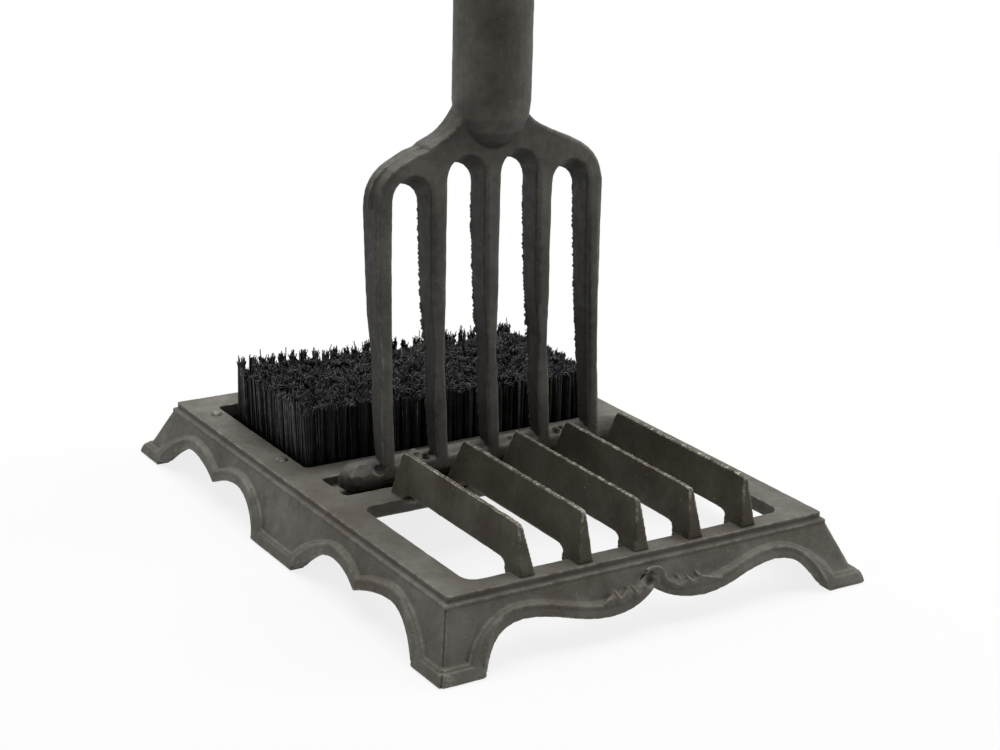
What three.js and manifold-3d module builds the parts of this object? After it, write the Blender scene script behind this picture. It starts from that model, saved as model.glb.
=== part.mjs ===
// Cast iron boot scraper: a splayed base with five scraper blades and a brush, and an upright
// garden fork with a D-shaped grip to hold on to. Millimetres, +Z up. X runs along the short side,
// the blades are towards -Y and the brush is towards +Y. The origin is on the floor under the middle.

import * as THREE from 'three';
import { mergeVertices } from 'three/addons/utils/BufferGeometryUtils.js';
import Module from 'manifold-3d';

const wasm = await Module();
wasm.setup();

// Base casting: a flat plate on four sloping sides that end in six feet
const plate_width = 237;
const plate_depth = 332;
const plate_top = 36.8;
const plate_thickness = 8;
const plate_edge_height = 5.5;
const ledge_width = 2;
const side_splay = 17.3;
const end_splay = 23.1;
const skirt_wall = 5.5;
const plate_corner_radius = 2;
const toe_corner_radius = 2.5;

// Rails, openings and crossbars of the plate, from the front edge to the rear one. The brush opening
// takes what the rest leaves
const side_rail = 18.6;
const front_rail = 12;
const blade_opening_depth = 112.2;
const front_crossbar = 19.4;
const trough_width = 29.9;
const rear_crossbar = 18.4;
const rear_rail = 19.3;
const blade_opening_radius = 8;
const opening_radius = 3;
const trough_depth = 5.7;
const trough_floor = 5;
const trough_wall = 5;

// Scalloped lower edge of the front and rear sides: foot, arch, belly and the point in the middle.
// Feet and arches are counted from the corner on the floor, the rest from the middle
const end_foot_width = 27.4;
const end_arch_inset = 55.8;
const end_arch_height = 20.5;
const end_belly_at = 30;
const end_belly_height = 12.5;
const end_point_height = 20.6;
const end_curve_handle = 18;
const foot_flare = 3.5;
const foot_flare_height = 8;

// Scalloped lower edge of the left and right sides: middle foot, two arches and the drop between
const middle_foot_half = 26;
const inner_arch_at = 60;
const inner_arch_height = 19.2;
const drop_at = 88.5;
const drop_height = 12.3;
const outer_arch_inset = 65.1;
const outer_arch_height = 19.8;
const side_foot_width = 30.1;
const side_curve_handle = 14;
const drop_half_width = 7;
const drop_rise = 3;

// Raised border along the scalloped edge, in two steps that round its upper edge
const border_width = 7.4;
const border_proud = 3;
const border_step_width = 6;
const border_step_proud = 1.9;

// Leaf scroll on the front and rear sides. Each stroke runs through balls, given by how far right of
// the middle, how far above the point of the edge and how thick they are, all in scroll sizes
const scroll_size = 10;
const scroll_proud = 4.1;
const scroll_strokes = [
  [[-2.9, -0.3, 0.18], [-2.5, -0.05, 0.18], [-2.2, 0.25, 0.06]],
  [[-2.3, -0.2, 0.2], [-1.7, 0.15, 0.2], [-1.3, 0.5, 0.06]],
  [[0, 0.6, 0.1], [0.25, 0.86, 0.15], [0.6, 0.84, 0.17], [0.8, 0.5, 0.18], [0.72, 0.15, 0.19],
    [1.1, -0.05, 0.19], [1.8, -0.2, 0.16]],
  [[1.6, 0.38, 0.06], [1.85, 0.05, 0.16], [2.3, -0.22, 0.18]],
  [[2.85, 0.32, 0.06], [3.05, -0.05, 0.16], [3.5, -0.28, 0.18]],
];

// Scraper blades
const blade_count = 5;
const blade_pitch = 35;
const blade_height = 26.7;
const blade_top_thickness = 2;
const blade_foot_thickness = 8.6;
const blade_front_margin = 2.6;
const blade_front_slope = 5.5;
const blade_rear_margin = 6;
const blade_rear_slope = 10;
const blade_heel_depth = 5.7;
const blade_heel_drop = 2.8;
const blade_heel_curve = 8;
const blade_underside_rise = 4.7;
const blade_corner_radius = 3;
const blade_leans = [-2, 1.6, 0.4, -0.5, 0.6];

// Garden fork
const tine_count = 5;
const tine_pitch = 34.3;
const tine_width = 10;
const tine_foot_width = 7.4;
const tine_depth = 18;
const tine_foot_depth = 10;
const tine_foot_forward = 8;
const tine_set_forward = 1.45;
const fork_edge_radius = 1.8;
const shoulder_height = 190;
const outer_slot_rise = 17;
const inner_slot_rise = 25.8;
const slot_foot_radius = 2.4;

// Crown of the fork, counted upwards from the shoulders and outwards from the middle. Its right half
// is the taller one
const crown_corner_rise = 23.5;
const crown_corner_inset = 14;
const crown_slope_rise = 36.5;
const crown_slope_half = 30;
const crown_neck_rise = 59;
const crown_neck_half = 13.5;
const crown_handle = 11;
const crown_right_lift = 2.2;

// Foot bar of the fork, which lies in the trough
const foot_bar_radius = 8.6;
const foot_bar_end_gap = 5;
const foot_bar_relief = 4.2;
const foot_pad_length = 22;
const foot_boss_length = 18;

// Socket of the fork, shaft and grip
const socket_radius = 21.9;
const socket_set_back = 3.55;
const socket_rise = 29;
const socket_nose_height = 27;
const socket_length = 126;
const socket_bore_depth = 83;
const socket_wall = 3.6;
const socket_rivet_depth = 21.5;
const shaft_wall = 3;
const overall_height = 760;
const grip_rise = 74;
const grip_span = 92;
const grip_radius = 14;
const grip_waist = 1.6;
const yoke_arm_width = 17;
const yoke_depth = 24;
const yoke_edge_radius = 3;
const yoke_collar_length = 72;
const yoke_collar_taper = 14;
const yoke_cap_depth = 12;
const yoke_root_depth = 30;
const yoke_bend_height = 30;
const yoke_curve_handle = 22;
const shaft_end_depth = 17;

// Fasteners
const bolt_radius = 5;
const bolt_spacing = 83;
const bolt_head_across = 17;
const bolt_head_height = 6.4;
const bolt_reach = 11;
const washer_radius = 10;
const washer_thickness = 2;
const rivet_radius = 3;
const rivet_head_radius = 5.5;
const rivet_head_height = 2.4;
const screw_radius = 2.1;
const screw_head_radius = 3.6;
const screw_head_height = 1.3;
const screw_length = 18;
const screw_side_inset = 6.1;
const screw_front_inset = 18.1;
const screw_rear_inset = 12.7;

// Brush
const board_side_gap = 2.9;
const board_thickness = 10;
const board_overlap = 8;
const board_chamfer = 1.5;
const slice_count = 4;
const slice_thickness = 4;
const bristle_rows = 16;
const bristle_columns = 24;
const bristle_height = 41.5;
const bristle_rear_rise = 2.6;
const bristle_right_wear = 2.8;
const bristle_foot_radius = 2.1;
const bristle_tip_radius = 1.3;
const bristle_sides = 3;
const bristle_side_gap = 1.2;
const bristle_front_gap = 0.9;
const bristle_rear_gap = 20.5;
const bristle_lean = 2.2;
const bristle_unevenness = 4;

// Clearances
const seat_gap = 0.3;
const fit_gap = 0.3;
const cut_margin = 2;

// Steps along one curve of an outline
const curve_steps = 8;

// Places that follow from the sizes above
const half_width = plate_width / 2;
const half_depth = plate_depth / 2;
const plate_underside = plate_top - plate_thickness;
const ledge_height = plate_top - plate_edge_height;
const end_foot_inner = half_width + side_splay - end_foot_width;
const end_arch_at = half_width + side_splay - end_arch_inset;
const side_foot_inner = half_depth + end_splay - side_foot_width;
const outer_arch_at = half_depth + end_splay - outer_arch_inset;
const opening_half_width = half_width - side_rail;
const blade_opening_front = -half_depth + front_rail;
const blade_opening_rear = blade_opening_front + blade_opening_depth;
const trough_front = blade_opening_rear + front_crossbar;
const trough_rear = trough_front + trough_width;
const trough_at = (trough_front + trough_rear) / 2;
const tine_front_at = trough_at - tine_set_forward;
const socket_at = trough_at + socket_set_back;
const trough_bottom = plate_top - trough_depth;
const brush_opening_front = trough_rear + rear_crossbar;
const brush_opening_rear = half_depth - rear_rail;
const blade_top = plate_top + blade_height;
const foot_bar_height = trough_bottom + seat_gap + foot_bar_radius;
const foot_bar_half = opening_half_width - foot_bar_end_gap;
const fork_half_width = (tine_count - 1) / 2 * tine_pitch + tine_width / 2;
const socket_bottom = shoulder_height + socket_rise;
const socket_top = socket_bottom + socket_length;
const shaft_bottom = socket_top - socket_bore_depth;
const shaft_radius = socket_radius - socket_wall - fit_gap;
const grip_height = overall_height - grip_radius;
const yoke_shoulder = grip_height - grip_rise;
const yoke_bottom = yoke_shoulder - yoke_collar_length;
const shaft_top = yoke_shoulder - shaft_end_depth;
const bolt_head_top = trough_bottom - trough_floor - washer_thickness - 2 * seat_gap;
const board_top = plate_underside - seat_gap - slice_thickness - seat_gap;
const board_half = half_width + skirt_offset(side_splay, plate_underside) - skirt_wall - board_side_gap;
const slice_bottom = board_top + seat_gap;
const rivet_height = socket_top - socket_rivet_depth;
const yoke_rivet_height = (yoke_bottom + shaft_top) / 2;

const iron = new THREE.MeshStandardMaterial({ color: 0x57524b, roughness: 0.62, metalness: 0.75 });
const fork_iron = new THREE.MeshStandardMaterial({ color: 0x4e4b46, roughness: 0.6, metalness: 0.75 });
const blade_iron = new THREE.MeshStandardMaterial({ color: 0x454239, roughness: 0.6, metalness: 0.75 });
const steel = new THREE.MeshStandardMaterial({ color: 0x6b6760, roughness: 0.5, metalness: 0.9 });
const board_wood = new THREE.MeshStandardMaterial({ color: 0x1d1b19, roughness: 0.8, metalness: 0 });
const bristle = new THREE.MeshStandardMaterial({ color: 0x17181c, roughness: 0.45, metalness: 0 });

// Turns a closed geometry into a solid that can be joined and cut
function solid(geometry) {
  const bare = geometry.clone();
  bare.deleteAttribute('normal');
  bare.deleteAttribute('uv');
  const merged = mergeVertices(bare, 1e-4);
  return new wasm.Manifold(new wasm.Mesh({
    numProp: 3,
    vertProperties: new Float32Array(merged.attributes.position.array),
    triVerts: new Uint32Array(merged.index.array),
  }));
}

function mesh(name, body, material) {
  const result = body.getMesh();
  const geometry = new THREE.BufferGeometry();
  geometry.setAttribute('position', new THREE.BufferAttribute(result.vertProperties, 3));
  geometry.setIndex(new THREE.BufferAttribute(result.triVerts, 1));
  geometry.computeVertexNormals();
  const piece = new THREE.Mesh(geometry, material);
  piece.name = name;
  return piece;
}

function box(x_from, x_to, y_from, y_to, z_from, z_to) {
  const geometry = new THREE.BoxGeometry(x_to - x_from, y_to - y_from, z_to - z_from);
  geometry.translate((x_from + x_to) / 2, (y_from + y_to) / 2, (z_from + z_to) / 2);
  return solid(geometry);
}

// Prism of an outline drawn in X and Z, from one Y to another
function prism_along_y(outline, y_from, y_to, settings = {}) {
  const geometry = new THREE.ExtrudeGeometry(outline, {
    depth: y_to - y_from, bevelEnabled: false, curveSegments: curve_steps, ...settings });
  geometry.rotateX(Math.PI / 2);
  geometry.translate(0, y_to, 0);
  return geometry;
}

// Prism of an outline drawn in Y and Z, from one X to another
function prism_along_x(outline, x_from, x_to) {
  const geometry = new THREE.ExtrudeGeometry(outline, {
    depth: x_to - x_from, bevelEnabled: false, curveSegments: curve_steps });
  const turn = new THREE.Matrix4().makeBasis(
    new THREE.Vector3(0, 1, 0), new THREE.Vector3(0, 0, 1), new THREE.Vector3(1, 0, 0));
  geometry.applyMatrix4(turn);
  geometry.translate(x_from, 0, 0);
  return geometry;
}

// Prism of a rectangle with rounded corners, standing on z_from
function rounded_block(x_half, y_from, y_to, radius, z_from, z_to) {
  const outline = new THREE.Shape();
  outline.moveTo(-x_half + radius, y_from);
  outline.lineTo(x_half - radius, y_from);
  outline.absarc(x_half - radius, y_from + radius, radius, -Math.PI / 2, 0);
  outline.absarc(x_half - radius, y_to - radius, radius, 0, Math.PI / 2);
  outline.absarc(-x_half + radius, y_to - radius, radius, Math.PI / 2, Math.PI);
  outline.absarc(-x_half + radius, y_from + radius, radius, Math.PI, 1.5 * Math.PI);
  const geometry = new THREE.ExtrudeGeometry(outline, {
    depth: z_to - z_from, bevelEnabled: false, curveSegments: 4 });
  geometry.translate(0, 0, z_from);
  return solid(geometry);
}

// Cylinder between two points on a line parallel to X, Y or Z
function rod(axis, radius, from, to, at, sides = 24) {
  const geometry = new THREE.CylinderGeometry(radius, radius, to - from, sides);
  if (axis === 'x') geometry.rotateZ(-Math.PI / 2);
  if (axis === 'z') geometry.rotateX(Math.PI / 2);
  const middle = (from + to) / 2;
  geometry.translate(
    axis === 'x' ? middle : at[0], axis === 'y' ? middle : at[1], axis === 'z' ? middle : at[2]);
  return solid(geometry);
}

// Solid through level rounded rectangles, each given by its half sizes, corner radius and height
function loft(levels) {
  const arc_steps = 3;
  const positions = [];
  for (const level of levels) {
    const corners = [[1, 1, 0], [-1, 1, 0.5], [-1, -1, 1], [1, -1, 1.5]];
    for (const [x_sign, y_sign, turn] of corners) {
      for (let step = 0; step <= arc_steps; step += 1) {
        const angle = (turn + step / arc_steps / 2) * Math.PI;
        positions.push(
          x_sign * (level.x_half - level.radius) + level.radius * Math.cos(angle),
          y_sign * (level.y_half - level.radius) + level.radius * Math.sin(angle),
          level.z);
      }
    }
  }
  const ring = 4 * (arc_steps + 1);
  const top = (levels.length - 1) * ring;
  const triangles = [];
  for (let level = 0; level < levels.length - 1; level += 1) {
    for (let i = 0; i < ring; i += 1) {
      const a = level * ring + i;
      const b = level * ring + (i + 1) % ring;
      triangles.push(a, b, b + ring, a, b + ring, a + ring);
    }
  }
  for (let i = 1; i < ring - 1; i += 1) {
    triangles.push(0, i + 1, i, top, top + i, top + i + 1);
  }
  const geometry = new THREE.BufferGeometry();
  geometry.setAttribute('position', new THREE.Float32BufferAttribute(positions, 3));
  geometry.setIndex(triangles);
  return solid(geometry);
}

// How far the sloping face stands out past the plate's edge at a height
function skirt_offset(splay, z) {
  const foot_offset = splay - border_proud;
  return ledge_width + (foot_offset - ledge_width) * (ledge_height - z) / ledge_height;
}

function skirt_level(z, grow) {
  const share = 1 - z / ledge_height;
  return {
    x_half: half_width + skirt_offset(side_splay, z) + grow,
    y_half: half_depth + skirt_offset(end_splay, z) + grow,
    radius: plate_corner_radius + (toe_corner_radius - plate_corner_radius) * share,
    z,
  };
}

// The whole body of the base before it is hollowed: plate edge, ledge and sloping sides
function base_body() {
  const edge = { x_half: half_width, y_half: half_depth, radius: plate_corner_radius };
  const ledge_drop = 0.8;
  return loft([
    skirt_level(0, 0),
    skirt_level(ledge_height - ledge_drop, 0),
    { ...edge, z: ledge_height },
    { ...edge, z: plate_top },
  ]);
}

// Lower edge of the front and rear sides, drawn from the left foot to the right one and raised by
// an inset: the cut under the side has none, and the border's upper line has the border's width
function end_edge(inset) {
  const foot = end_foot_inner + inset;
  const arch = end_arch_height + inset;
  const belly = end_belly_height + inset;
  const point = end_point_height + inset;
  const foot_top = [foot - foot_flare, inset + foot_flare_height];
  const handle = end_curve_handle;
  const outline = new THREE.Shape();
  outline.moveTo(-foot, inset);
  outline.bezierCurveTo(-foot_top[0], foot_top[1], -end_arch_at - handle, arch, -end_arch_at, arch);
  outline.bezierCurveTo(-end_arch_at + handle, arch, -end_belly_at - handle, belly, -end_belly_at, belly);
  outline.bezierCurveTo(-end_belly_at / 2, belly, -end_belly_at / 5, (belly + point) / 2, 0, point);
  outline.bezierCurveTo(end_belly_at / 5, (belly + point) / 2, end_belly_at / 2, belly, end_belly_at, belly);
  outline.bezierCurveTo(end_belly_at + handle, belly, end_arch_at - handle, arch, end_arch_at, arch);
  outline.bezierCurveTo(end_arch_at + handle, arch, foot_top[0], foot_top[1], foot, inset);
  return outline;
}

// Lower edge of one half of a left or right side, from the middle foot outwards
function side_edge(inset, side) {
  const inner_foot = middle_foot_half - inset;
  const outer_foot = side_foot_inner + inset;
  const inner = inner_arch_height + inset;
  const outer = outer_arch_height + inset;
  const drop = drop_height + inset;
  const handle = side_curve_handle;
  const knots = [
    [inner_foot + foot_flare, inset + foot_flare_height, inner_arch_at - handle, inner, inner_arch_at, inner],
    [inner_arch_at + handle, inner, drop_at - drop_half_width, drop + drop_rise, drop_at, drop],
    [drop_at + drop_half_width, drop + drop_rise, outer_arch_at - handle, outer, outer_arch_at, outer],
    [outer_arch_at + handle, outer, outer_foot - 2 * foot_flare, inset + foot_flare_height, outer_foot, inset],
  ];
  const outline = new THREE.Shape();
  outline.moveTo(side * inner_foot, inset);
  for (const [x1, z1, x2, z2, x, z] of knots) {
    outline.bezierCurveTo(side * x1, z1, side * x2, z2, side * x, z);
  }
  return outline;
}

// Closes an edge drawn from one foot to the next into the area below it
function below(outline, from, to) {
  outline.lineTo(to, -cut_margin);
  outline.lineTo(from, -cut_margin);
  return outline;
}

// The area under a border's upper line: feet are covered up to the inset, arches to their raised edge
function border_area(edges, inset, reach) {
  const area = new THREE.Shape();
  area.moveTo(-reach, -cut_margin);
  area.lineTo(-reach, inset);
  for (const edge of edges) {
    for (const point of edge.getPoints(curve_steps)) area.lineTo(point.x, point.y);
  }
  area.lineTo(reach, inset);
  area.lineTo(reach, -cut_margin);
  return area;
}

function reversed(outline) {
  return { getPoints: (steps) => outline.getPoints(steps).reverse() };
}

function border_layer(inset, proud) {
  const shell = loft([skirt_level(0, proud), skirt_level(ledge_height - 1, proud)]);
  const reach = half_depth + end_splay + cut_margin;
  const end_area = border_area([end_edge(inset)], inset, reach);
  const side_area = border_area([reversed(side_edge(inset, -1)), side_edge(inset, 1)], inset, reach);
  const middle = box(
    -half_width, half_width, -half_depth, half_depth, -cut_margin, plate_top);
  const ends = solid(prism_along_y(end_area, -reach, reach))
    .intersect(box(-half_width, half_width, -reach, reach, -cut_margin, plate_top));
  const sides = solid(prism_along_x(side_area, -reach, reach))
    .intersect(box(-reach, reach, -half_depth, half_depth, -cut_margin, plate_top));
  const corners = box(-reach, reach, -reach, reach, -cut_margin, inset)
    .subtract(box(-half_width, half_width, -reach, reach, -2 * cut_margin, plate_top))
    .subtract(box(-reach, reach, -half_depth, half_depth, -2 * cut_margin, plate_top));
  return shell.intersect(ends.subtract(middle).add(sides.subtract(middle)).add(corners));
}

// One ball of a stroke, sunk into the sloping face so that it stands out by the scroll's height
function scroll_ball([x, rise, thickness], end) {
  const radius = thickness * scroll_size;
  const z = end_point_height + rise * scroll_size;
  const slope = Math.atan2(skirt_offset(end_splay, 0) - ledge_width, ledge_height);
  const y = half_depth + skirt_offset(end_splay, z) + (scroll_proud - radius) / Math.cos(slope);
  return wasm.Manifold.sphere(radius, 8).translate(-end * x * scroll_size, end * y, z);
}

// Leaf tips either side of the middle and a curl between them, each a chain of stretched balls
function leaf_scroll(end) {
  const links = [];
  for (const stroke of scroll_strokes) {
    const balls = stroke.map((ball) => scroll_ball(ball, end));
    for (let i = 1; i < balls.length; i += 1) {
      links.push(wasm.Manifold.hull([balls[i - 1], balls[i]]));
    }
  }
  return wasm.Manifold.union(links);
}

function base_casting() {
  const step = border_layer(border_width, border_step_proud);
  const border = border_layer(border_step_width, border_proud);
  const hollow = loft([
    skirt_level(-cut_margin, -skirt_wall),
    skirt_level(plate_underside, -skirt_wall),
  ]);
  const through = [-cut_margin, plate_top + cut_margin];
  const arch_cut = solid(prism_along_y(
    below(end_edge(0), -end_foot_inner, end_foot_inner), -half_depth - end_splay - cut_margin,
    half_depth + end_splay + cut_margin));
  const side_cuts = [-1, 1].map((side) => solid(prism_along_x(
    below(side_edge(0, side), side * middle_foot_half, side * side_foot_inner),
    -half_width - side_splay - cut_margin, half_width + side_splay + cut_margin)));
  const trough_pan = rounded_block(
    opening_half_width + trough_wall, trough_front - trough_wall, trough_rear + trough_wall,
    opening_radius, trough_bottom - trough_floor, plate_underside + 1);
  let base = base_body().add(step).add(border).add(leaf_scroll(-1)).add(leaf_scroll(1));
  base = base.subtract(hollow).add(trough_pan);
  base = base.subtract(arch_cut).subtract(side_cuts[0]).subtract(side_cuts[1]);
  base = base.subtract(rounded_block(opening_half_width, blade_opening_front, blade_opening_rear,
    blade_opening_radius, ...through));
  base = base.subtract(rounded_block(opening_half_width, brush_opening_front, brush_opening_rear,
    opening_radius, ...through));
  base = base.subtract(rounded_block(opening_half_width, trough_front, trough_rear,
    opening_radius, trough_bottom, plate_top + cut_margin));
  for (const x of bolt_places()) {
    base = base.subtract(rod('z', bolt_radius + fit_gap, 0, plate_top, [x, trough_at], 16));
  }
  for (const [x, y] of screw_places()) {
    base = base.subtract(rod('z', screw_radius + fit_gap, 0, plate_top + cut_margin, [x, y], 10));
  }
  return mesh('base_casting', base, iron);
}

function bolt_places() {
  return [-bolt_spacing / 2, bolt_spacing / 2];
}

function screw_places() {
  const x = opening_half_width + screw_side_inset;
  const front = brush_opening_front + screw_front_inset;
  const rear = brush_opening_rear - screw_rear_inset;
  return [[-x, front], [-x, rear], [x, front], [x, rear]];
}

// Side outline of a blade: its front foot on the rail, a heel behind the rail, the hollow underside,
// its rear foot, and back over the top
function blade_outline() {
  const bottom = plate_top + seat_gap;
  const underside = plate_top + blade_underside_rise;
  const front = -half_depth + blade_front_margin;
  const rear = trough_front - blade_rear_margin;
  const r = blade_corner_radius;
  const heel_front = blade_opening_front + fit_gap;
  const heel_rear = heel_front + blade_heel_depth;
  const outline = new THREE.Shape();
  outline.moveTo(front, bottom);
  outline.lineTo(heel_front, bottom);
  outline.lineTo(heel_front, plate_top - blade_heel_drop);
  outline.lineTo(heel_rear, plate_top - blade_heel_drop);
  outline.lineTo(heel_rear, bottom);
  outline.quadraticCurveTo(heel_rear, underside, heel_rear + blade_heel_curve, underside);
  outline.lineTo(blade_opening_rear - 6, underside);
  outline.quadraticCurveTo(blade_opening_rear, underside, blade_opening_rear + 1, bottom);
  outline.lineTo(rear, bottom);
  outline.lineTo(rear - blade_rear_slope + r * 0.4, blade_top - r);
  outline.quadraticCurveTo(rear - blade_rear_slope, blade_top, rear - blade_rear_slope - r, blade_top);
  outline.lineTo(front + blade_front_slope + r, blade_top);
  outline.quadraticCurveTo(front + blade_front_slope, blade_top, front + blade_front_slope - 0.6, blade_top - r);
  outline.lineTo(front, bottom);
  return outline;
}

function blade(index) {
  const geometry = new THREE.ExtrudeGeometry(blade_outline(), {
    depth: 2, bevelEnabled: false, curveSegments: 4 });
  geometry.translate(0, 0, -1);
  const turn = new THREE.Matrix4().makeBasis(
    new THREE.Vector3(0, 1, 0), new THREE.Vector3(0, 0, 1), new THREE.Vector3(1, 0, 0));
  geometry.applyMatrix4(turn);
  const place = geometry.attributes.position;
  const at = (index - (blade_count - 1) / 2) * blade_pitch;
  for (let i = 0; i < place.count; i += 1) {
    const share = (place.getZ(i) - plate_top) / blade_height;
    const half = (blade_foot_thickness + (blade_top_thickness - blade_foot_thickness) * share) / 2;
    place.setX(i, at + blade_leans[index % blade_leans.length] * share + place.getX(i) * half);
  }
  return mesh(`scraper_blade_${index + 1}`, solid(geometry), blade_iron);
}

// Points up the outer edge of one half of the fork, from the foot bar over the crown to the neck
function fork_side(lift) {
  const half = fork_half_width - fork_edge_radius;
  const foot_half = (tine_count - 1) / 2 * tine_pitch + tine_foot_width / 2 - fork_edge_radius;
  const corner = [half - crown_corner_inset, shoulder_height + crown_corner_rise + lift];
  const slope = [crown_slope_half, shoulder_height + crown_slope_rise + lift];
  const neck = [crown_neck_half - fork_edge_radius, shoulder_height + crown_neck_rise];
  const handle = crown_handle;
  const outline = new THREE.Path();
  outline.moveTo(foot_half, foot_bar_height);
  for (const z of tine_heights()) outline.lineTo(foot_half + (half - foot_half) * tine_share(z), z);
  outline.lineTo(half, shoulder_height);
  outline.bezierCurveTo(half, shoulder_height + crown_corner_rise / 2,
    half - crown_corner_inset / 3, corner[1] - crown_corner_rise / 5, ...corner);
  outline.bezierCurveTo(corner[0] - handle, corner[1] + handle / 2,
    slope[0] + handle, slope[1] - handle / 2, ...slope);
  outline.bezierCurveTo(slope[0] - handle * 0.75, slope[1] + handle * 0.4,
    neck[0] + handle / 2, neck[1] - handle * 0.8, ...neck);
  return outline.getPoints(6);
}

// Outline of the fork from the foot bar up to the socket, in X and Z, with its slots as holes
function fork_outline() {
  const left = fork_side(0).map((point) => new THREE.Vector2(-point.x, point.y)).reverse();
  const whole = new THREE.Shape([...fork_side(crown_right_lift), ...left]);
  for (let slot = 0; slot < tine_count - 1; slot += 1) whole.holes.push(fork_slot(slot));
  return whole;
}

// How far up a tine a height is, from 0 at the foot bar to 1 at the shoulder and above
function tine_share(z) {
  return Math.min(1, Math.max(0, (z - foot_bar_height) / (shoulder_height - foot_bar_height)));
}

// Heights between the foot and the shoulder at which the tines' edges have a point, so that they bend
function tine_heights() {
  const steps = 5;
  const from = foot_bar_height + foot_bar_radius / 2 + slot_foot_radius;
  return Array.from({ length: steps }, (_, i) => from + (shoulder_height - from) * i / steps);
}

// Slot between two tines: a round top, sides that widen downwards and rounded corners at the foot
function fork_slot(index) {
  const at = (index - (tine_count - 2) / 2) * tine_pitch;
  const is_outer = index === 0 || index === tine_count - 2;
  const top = shoulder_height + (is_outer ? outer_slot_rise : inner_slot_rise);
  const radius = (tine_pitch - tine_width) / 2 + fork_edge_radius;
  const foot_half = (tine_pitch - tine_foot_width) / 2 + fork_edge_radius;
  const bottom = foot_bar_height + foot_bar_radius / 2;
  const slot = new THREE.Path();
  const round = [];
  const steps = 10;
  for (let i = 0; i <= steps; i += 1) {
    const angle = i / steps * Math.PI;
    round.push(new THREE.Vector2(at + radius * Math.cos(angle), top - radius + radius * Math.sin(angle)));
  }
  const corner = slot_foot_radius;
  const side = (sign) => tine_heights().map((z) => new THREE.Vector2(
    at + sign * (foot_half + (radius - foot_half) * tine_share(z)), z));
  slot.setFromPoints([
    ...round,
    new THREE.Vector2(at - radius, shoulder_height),
    ...side(-1).reverse(),
    new THREE.Vector2(at - foot_half + 0.3 * corner, bottom + 0.3 * corner),
    new THREE.Vector2(at - foot_half + corner, bottom),
    new THREE.Vector2(at + foot_half - corner, bottom),
    new THREE.Vector2(at + foot_half - 0.3 * corner, bottom + 0.3 * corner),
    ...side(1),
    new THREE.Vector2(at + radius, shoulder_height),
  ]);
  return slot;
}

// Fork head with rounded edges, whose tines grow thinner and sweep forward from the shoulders down
function fork_head() {
  const geometry = new THREE.ExtrudeGeometry(fork_outline(), {
    depth: tine_depth - 2 * fork_edge_radius,
    bevelEnabled: true,
    bevelThickness: fork_edge_radius,
    bevelSize: fork_edge_radius,
    bevelSegments: 2,
    curveSegments: 6,
  });
  geometry.rotateX(Math.PI / 2);
  geometry.translate(0, tine_front_at + tine_depth - fork_edge_radius, 0);
  const place = geometry.attributes.position;
  for (let i = 0; i < place.count; i += 1) {
    const share = tine_share(place.getZ(i));
    const depth = tine_foot_depth + (tine_depth - tine_foot_depth) * share;
    const forward = tine_foot_forward * (1 - share) ** 2;
    place.setY(i, tine_front_at - forward + (place.getY(i) - tine_front_at) * depth / tine_depth);
  }
  return solid(geometry);
}

// Round bar with ball ends, cut hollow underneath between its end pads and the two bolt bosses
function foot_bar() {
  const half = foot_bar_half;
  const bar = new THREE.CapsuleGeometry(foot_bar_radius, 2 * (half - foot_bar_radius), 4, 16);
  bar.rotateZ(Math.PI / 2);
  bar.translate(0, trough_at, foot_bar_height);
  let body = solid(bar);
  const bottom = foot_bar_height - foot_bar_radius;
  const boss = (bolt_spacing + foot_boss_length) / 2;
  const spans = [
    [-half + foot_pad_length, -boss],
    [-boss + foot_boss_length, boss - foot_boss_length],
    [boss, half - foot_pad_length],
  ];
  for (const [from, to] of spans) {
    body = body.subtract(box(from, to, trough_front, trough_rear, bottom - 1, bottom + foot_bar_relief));
  }
  return body;
}

// Round socket with a blunt nose at its lower end, bored from the top for the shaft
function fork_socket() {
  const profile = [new THREE.Vector2(0, socket_bottom)];
  const nose_steps = 5;
  for (let i = 1; i <= nose_steps; i += 1) {
    const angle = i / nose_steps * Math.PI / 2;
    profile.push(new THREE.Vector2(
      socket_radius * Math.sin(angle), socket_bottom + socket_nose_height * (1 - Math.cos(angle))));
  }
  const bore = socket_radius - socket_wall;
  profile.push(new THREE.Vector2(socket_radius, socket_top - 1.5));
  profile.push(new THREE.Vector2(socket_radius - 1.5, socket_top));
  profile.push(new THREE.Vector2(bore, socket_top));
  profile.push(new THREE.Vector2(bore, shaft_bottom - seat_gap));
  profile.push(new THREE.Vector2(0, shaft_bottom - seat_gap));
  const geometry = new THREE.LatheGeometry(profile, 32);
  geometry.rotateX(Math.PI / 2);
  geometry.translate(0, socket_at, 0);
  return solid(geometry);
}

function fork_casting() {
  let fork = fork_head().add(foot_bar()).add(fork_socket());
  fork = fork.subtract(rod('z', socket_radius - socket_wall, shaft_bottom - seat_gap, socket_top + 1,
    [0, socket_at], 32));
  for (const x of bolt_places()) {
    fork = fork.subtract(rod('z', bolt_radius + fit_gap, 0, bolt_tip() + seat_gap, [x, trough_at], 16));
  }
  fork = fork.subtract(rivet_hole(rivet_height));
  return mesh('fork_casting', fork, fork_iron);
}

function bolt_tip() {
  return trough_bottom + bolt_reach;
}

// Hexagon bolt from below, through the trough's floor into the foot bar
function fork_bolt(side, x) {
  const head = new THREE.CylinderGeometry(
    bolt_head_across / Math.sqrt(3), bolt_head_across / Math.sqrt(3), bolt_head_height, 6);
  head.rotateX(Math.PI / 2);
  head.translate(x, trough_at, bolt_head_top - bolt_head_height / 2);
  const bolt = solid(head).add(rod('z', bolt_radius, bolt_head_top - 1, bolt_tip(), [x, trough_at], 16));
  return mesh(`fork_bolt_${side}`, bolt, steel);
}

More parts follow.
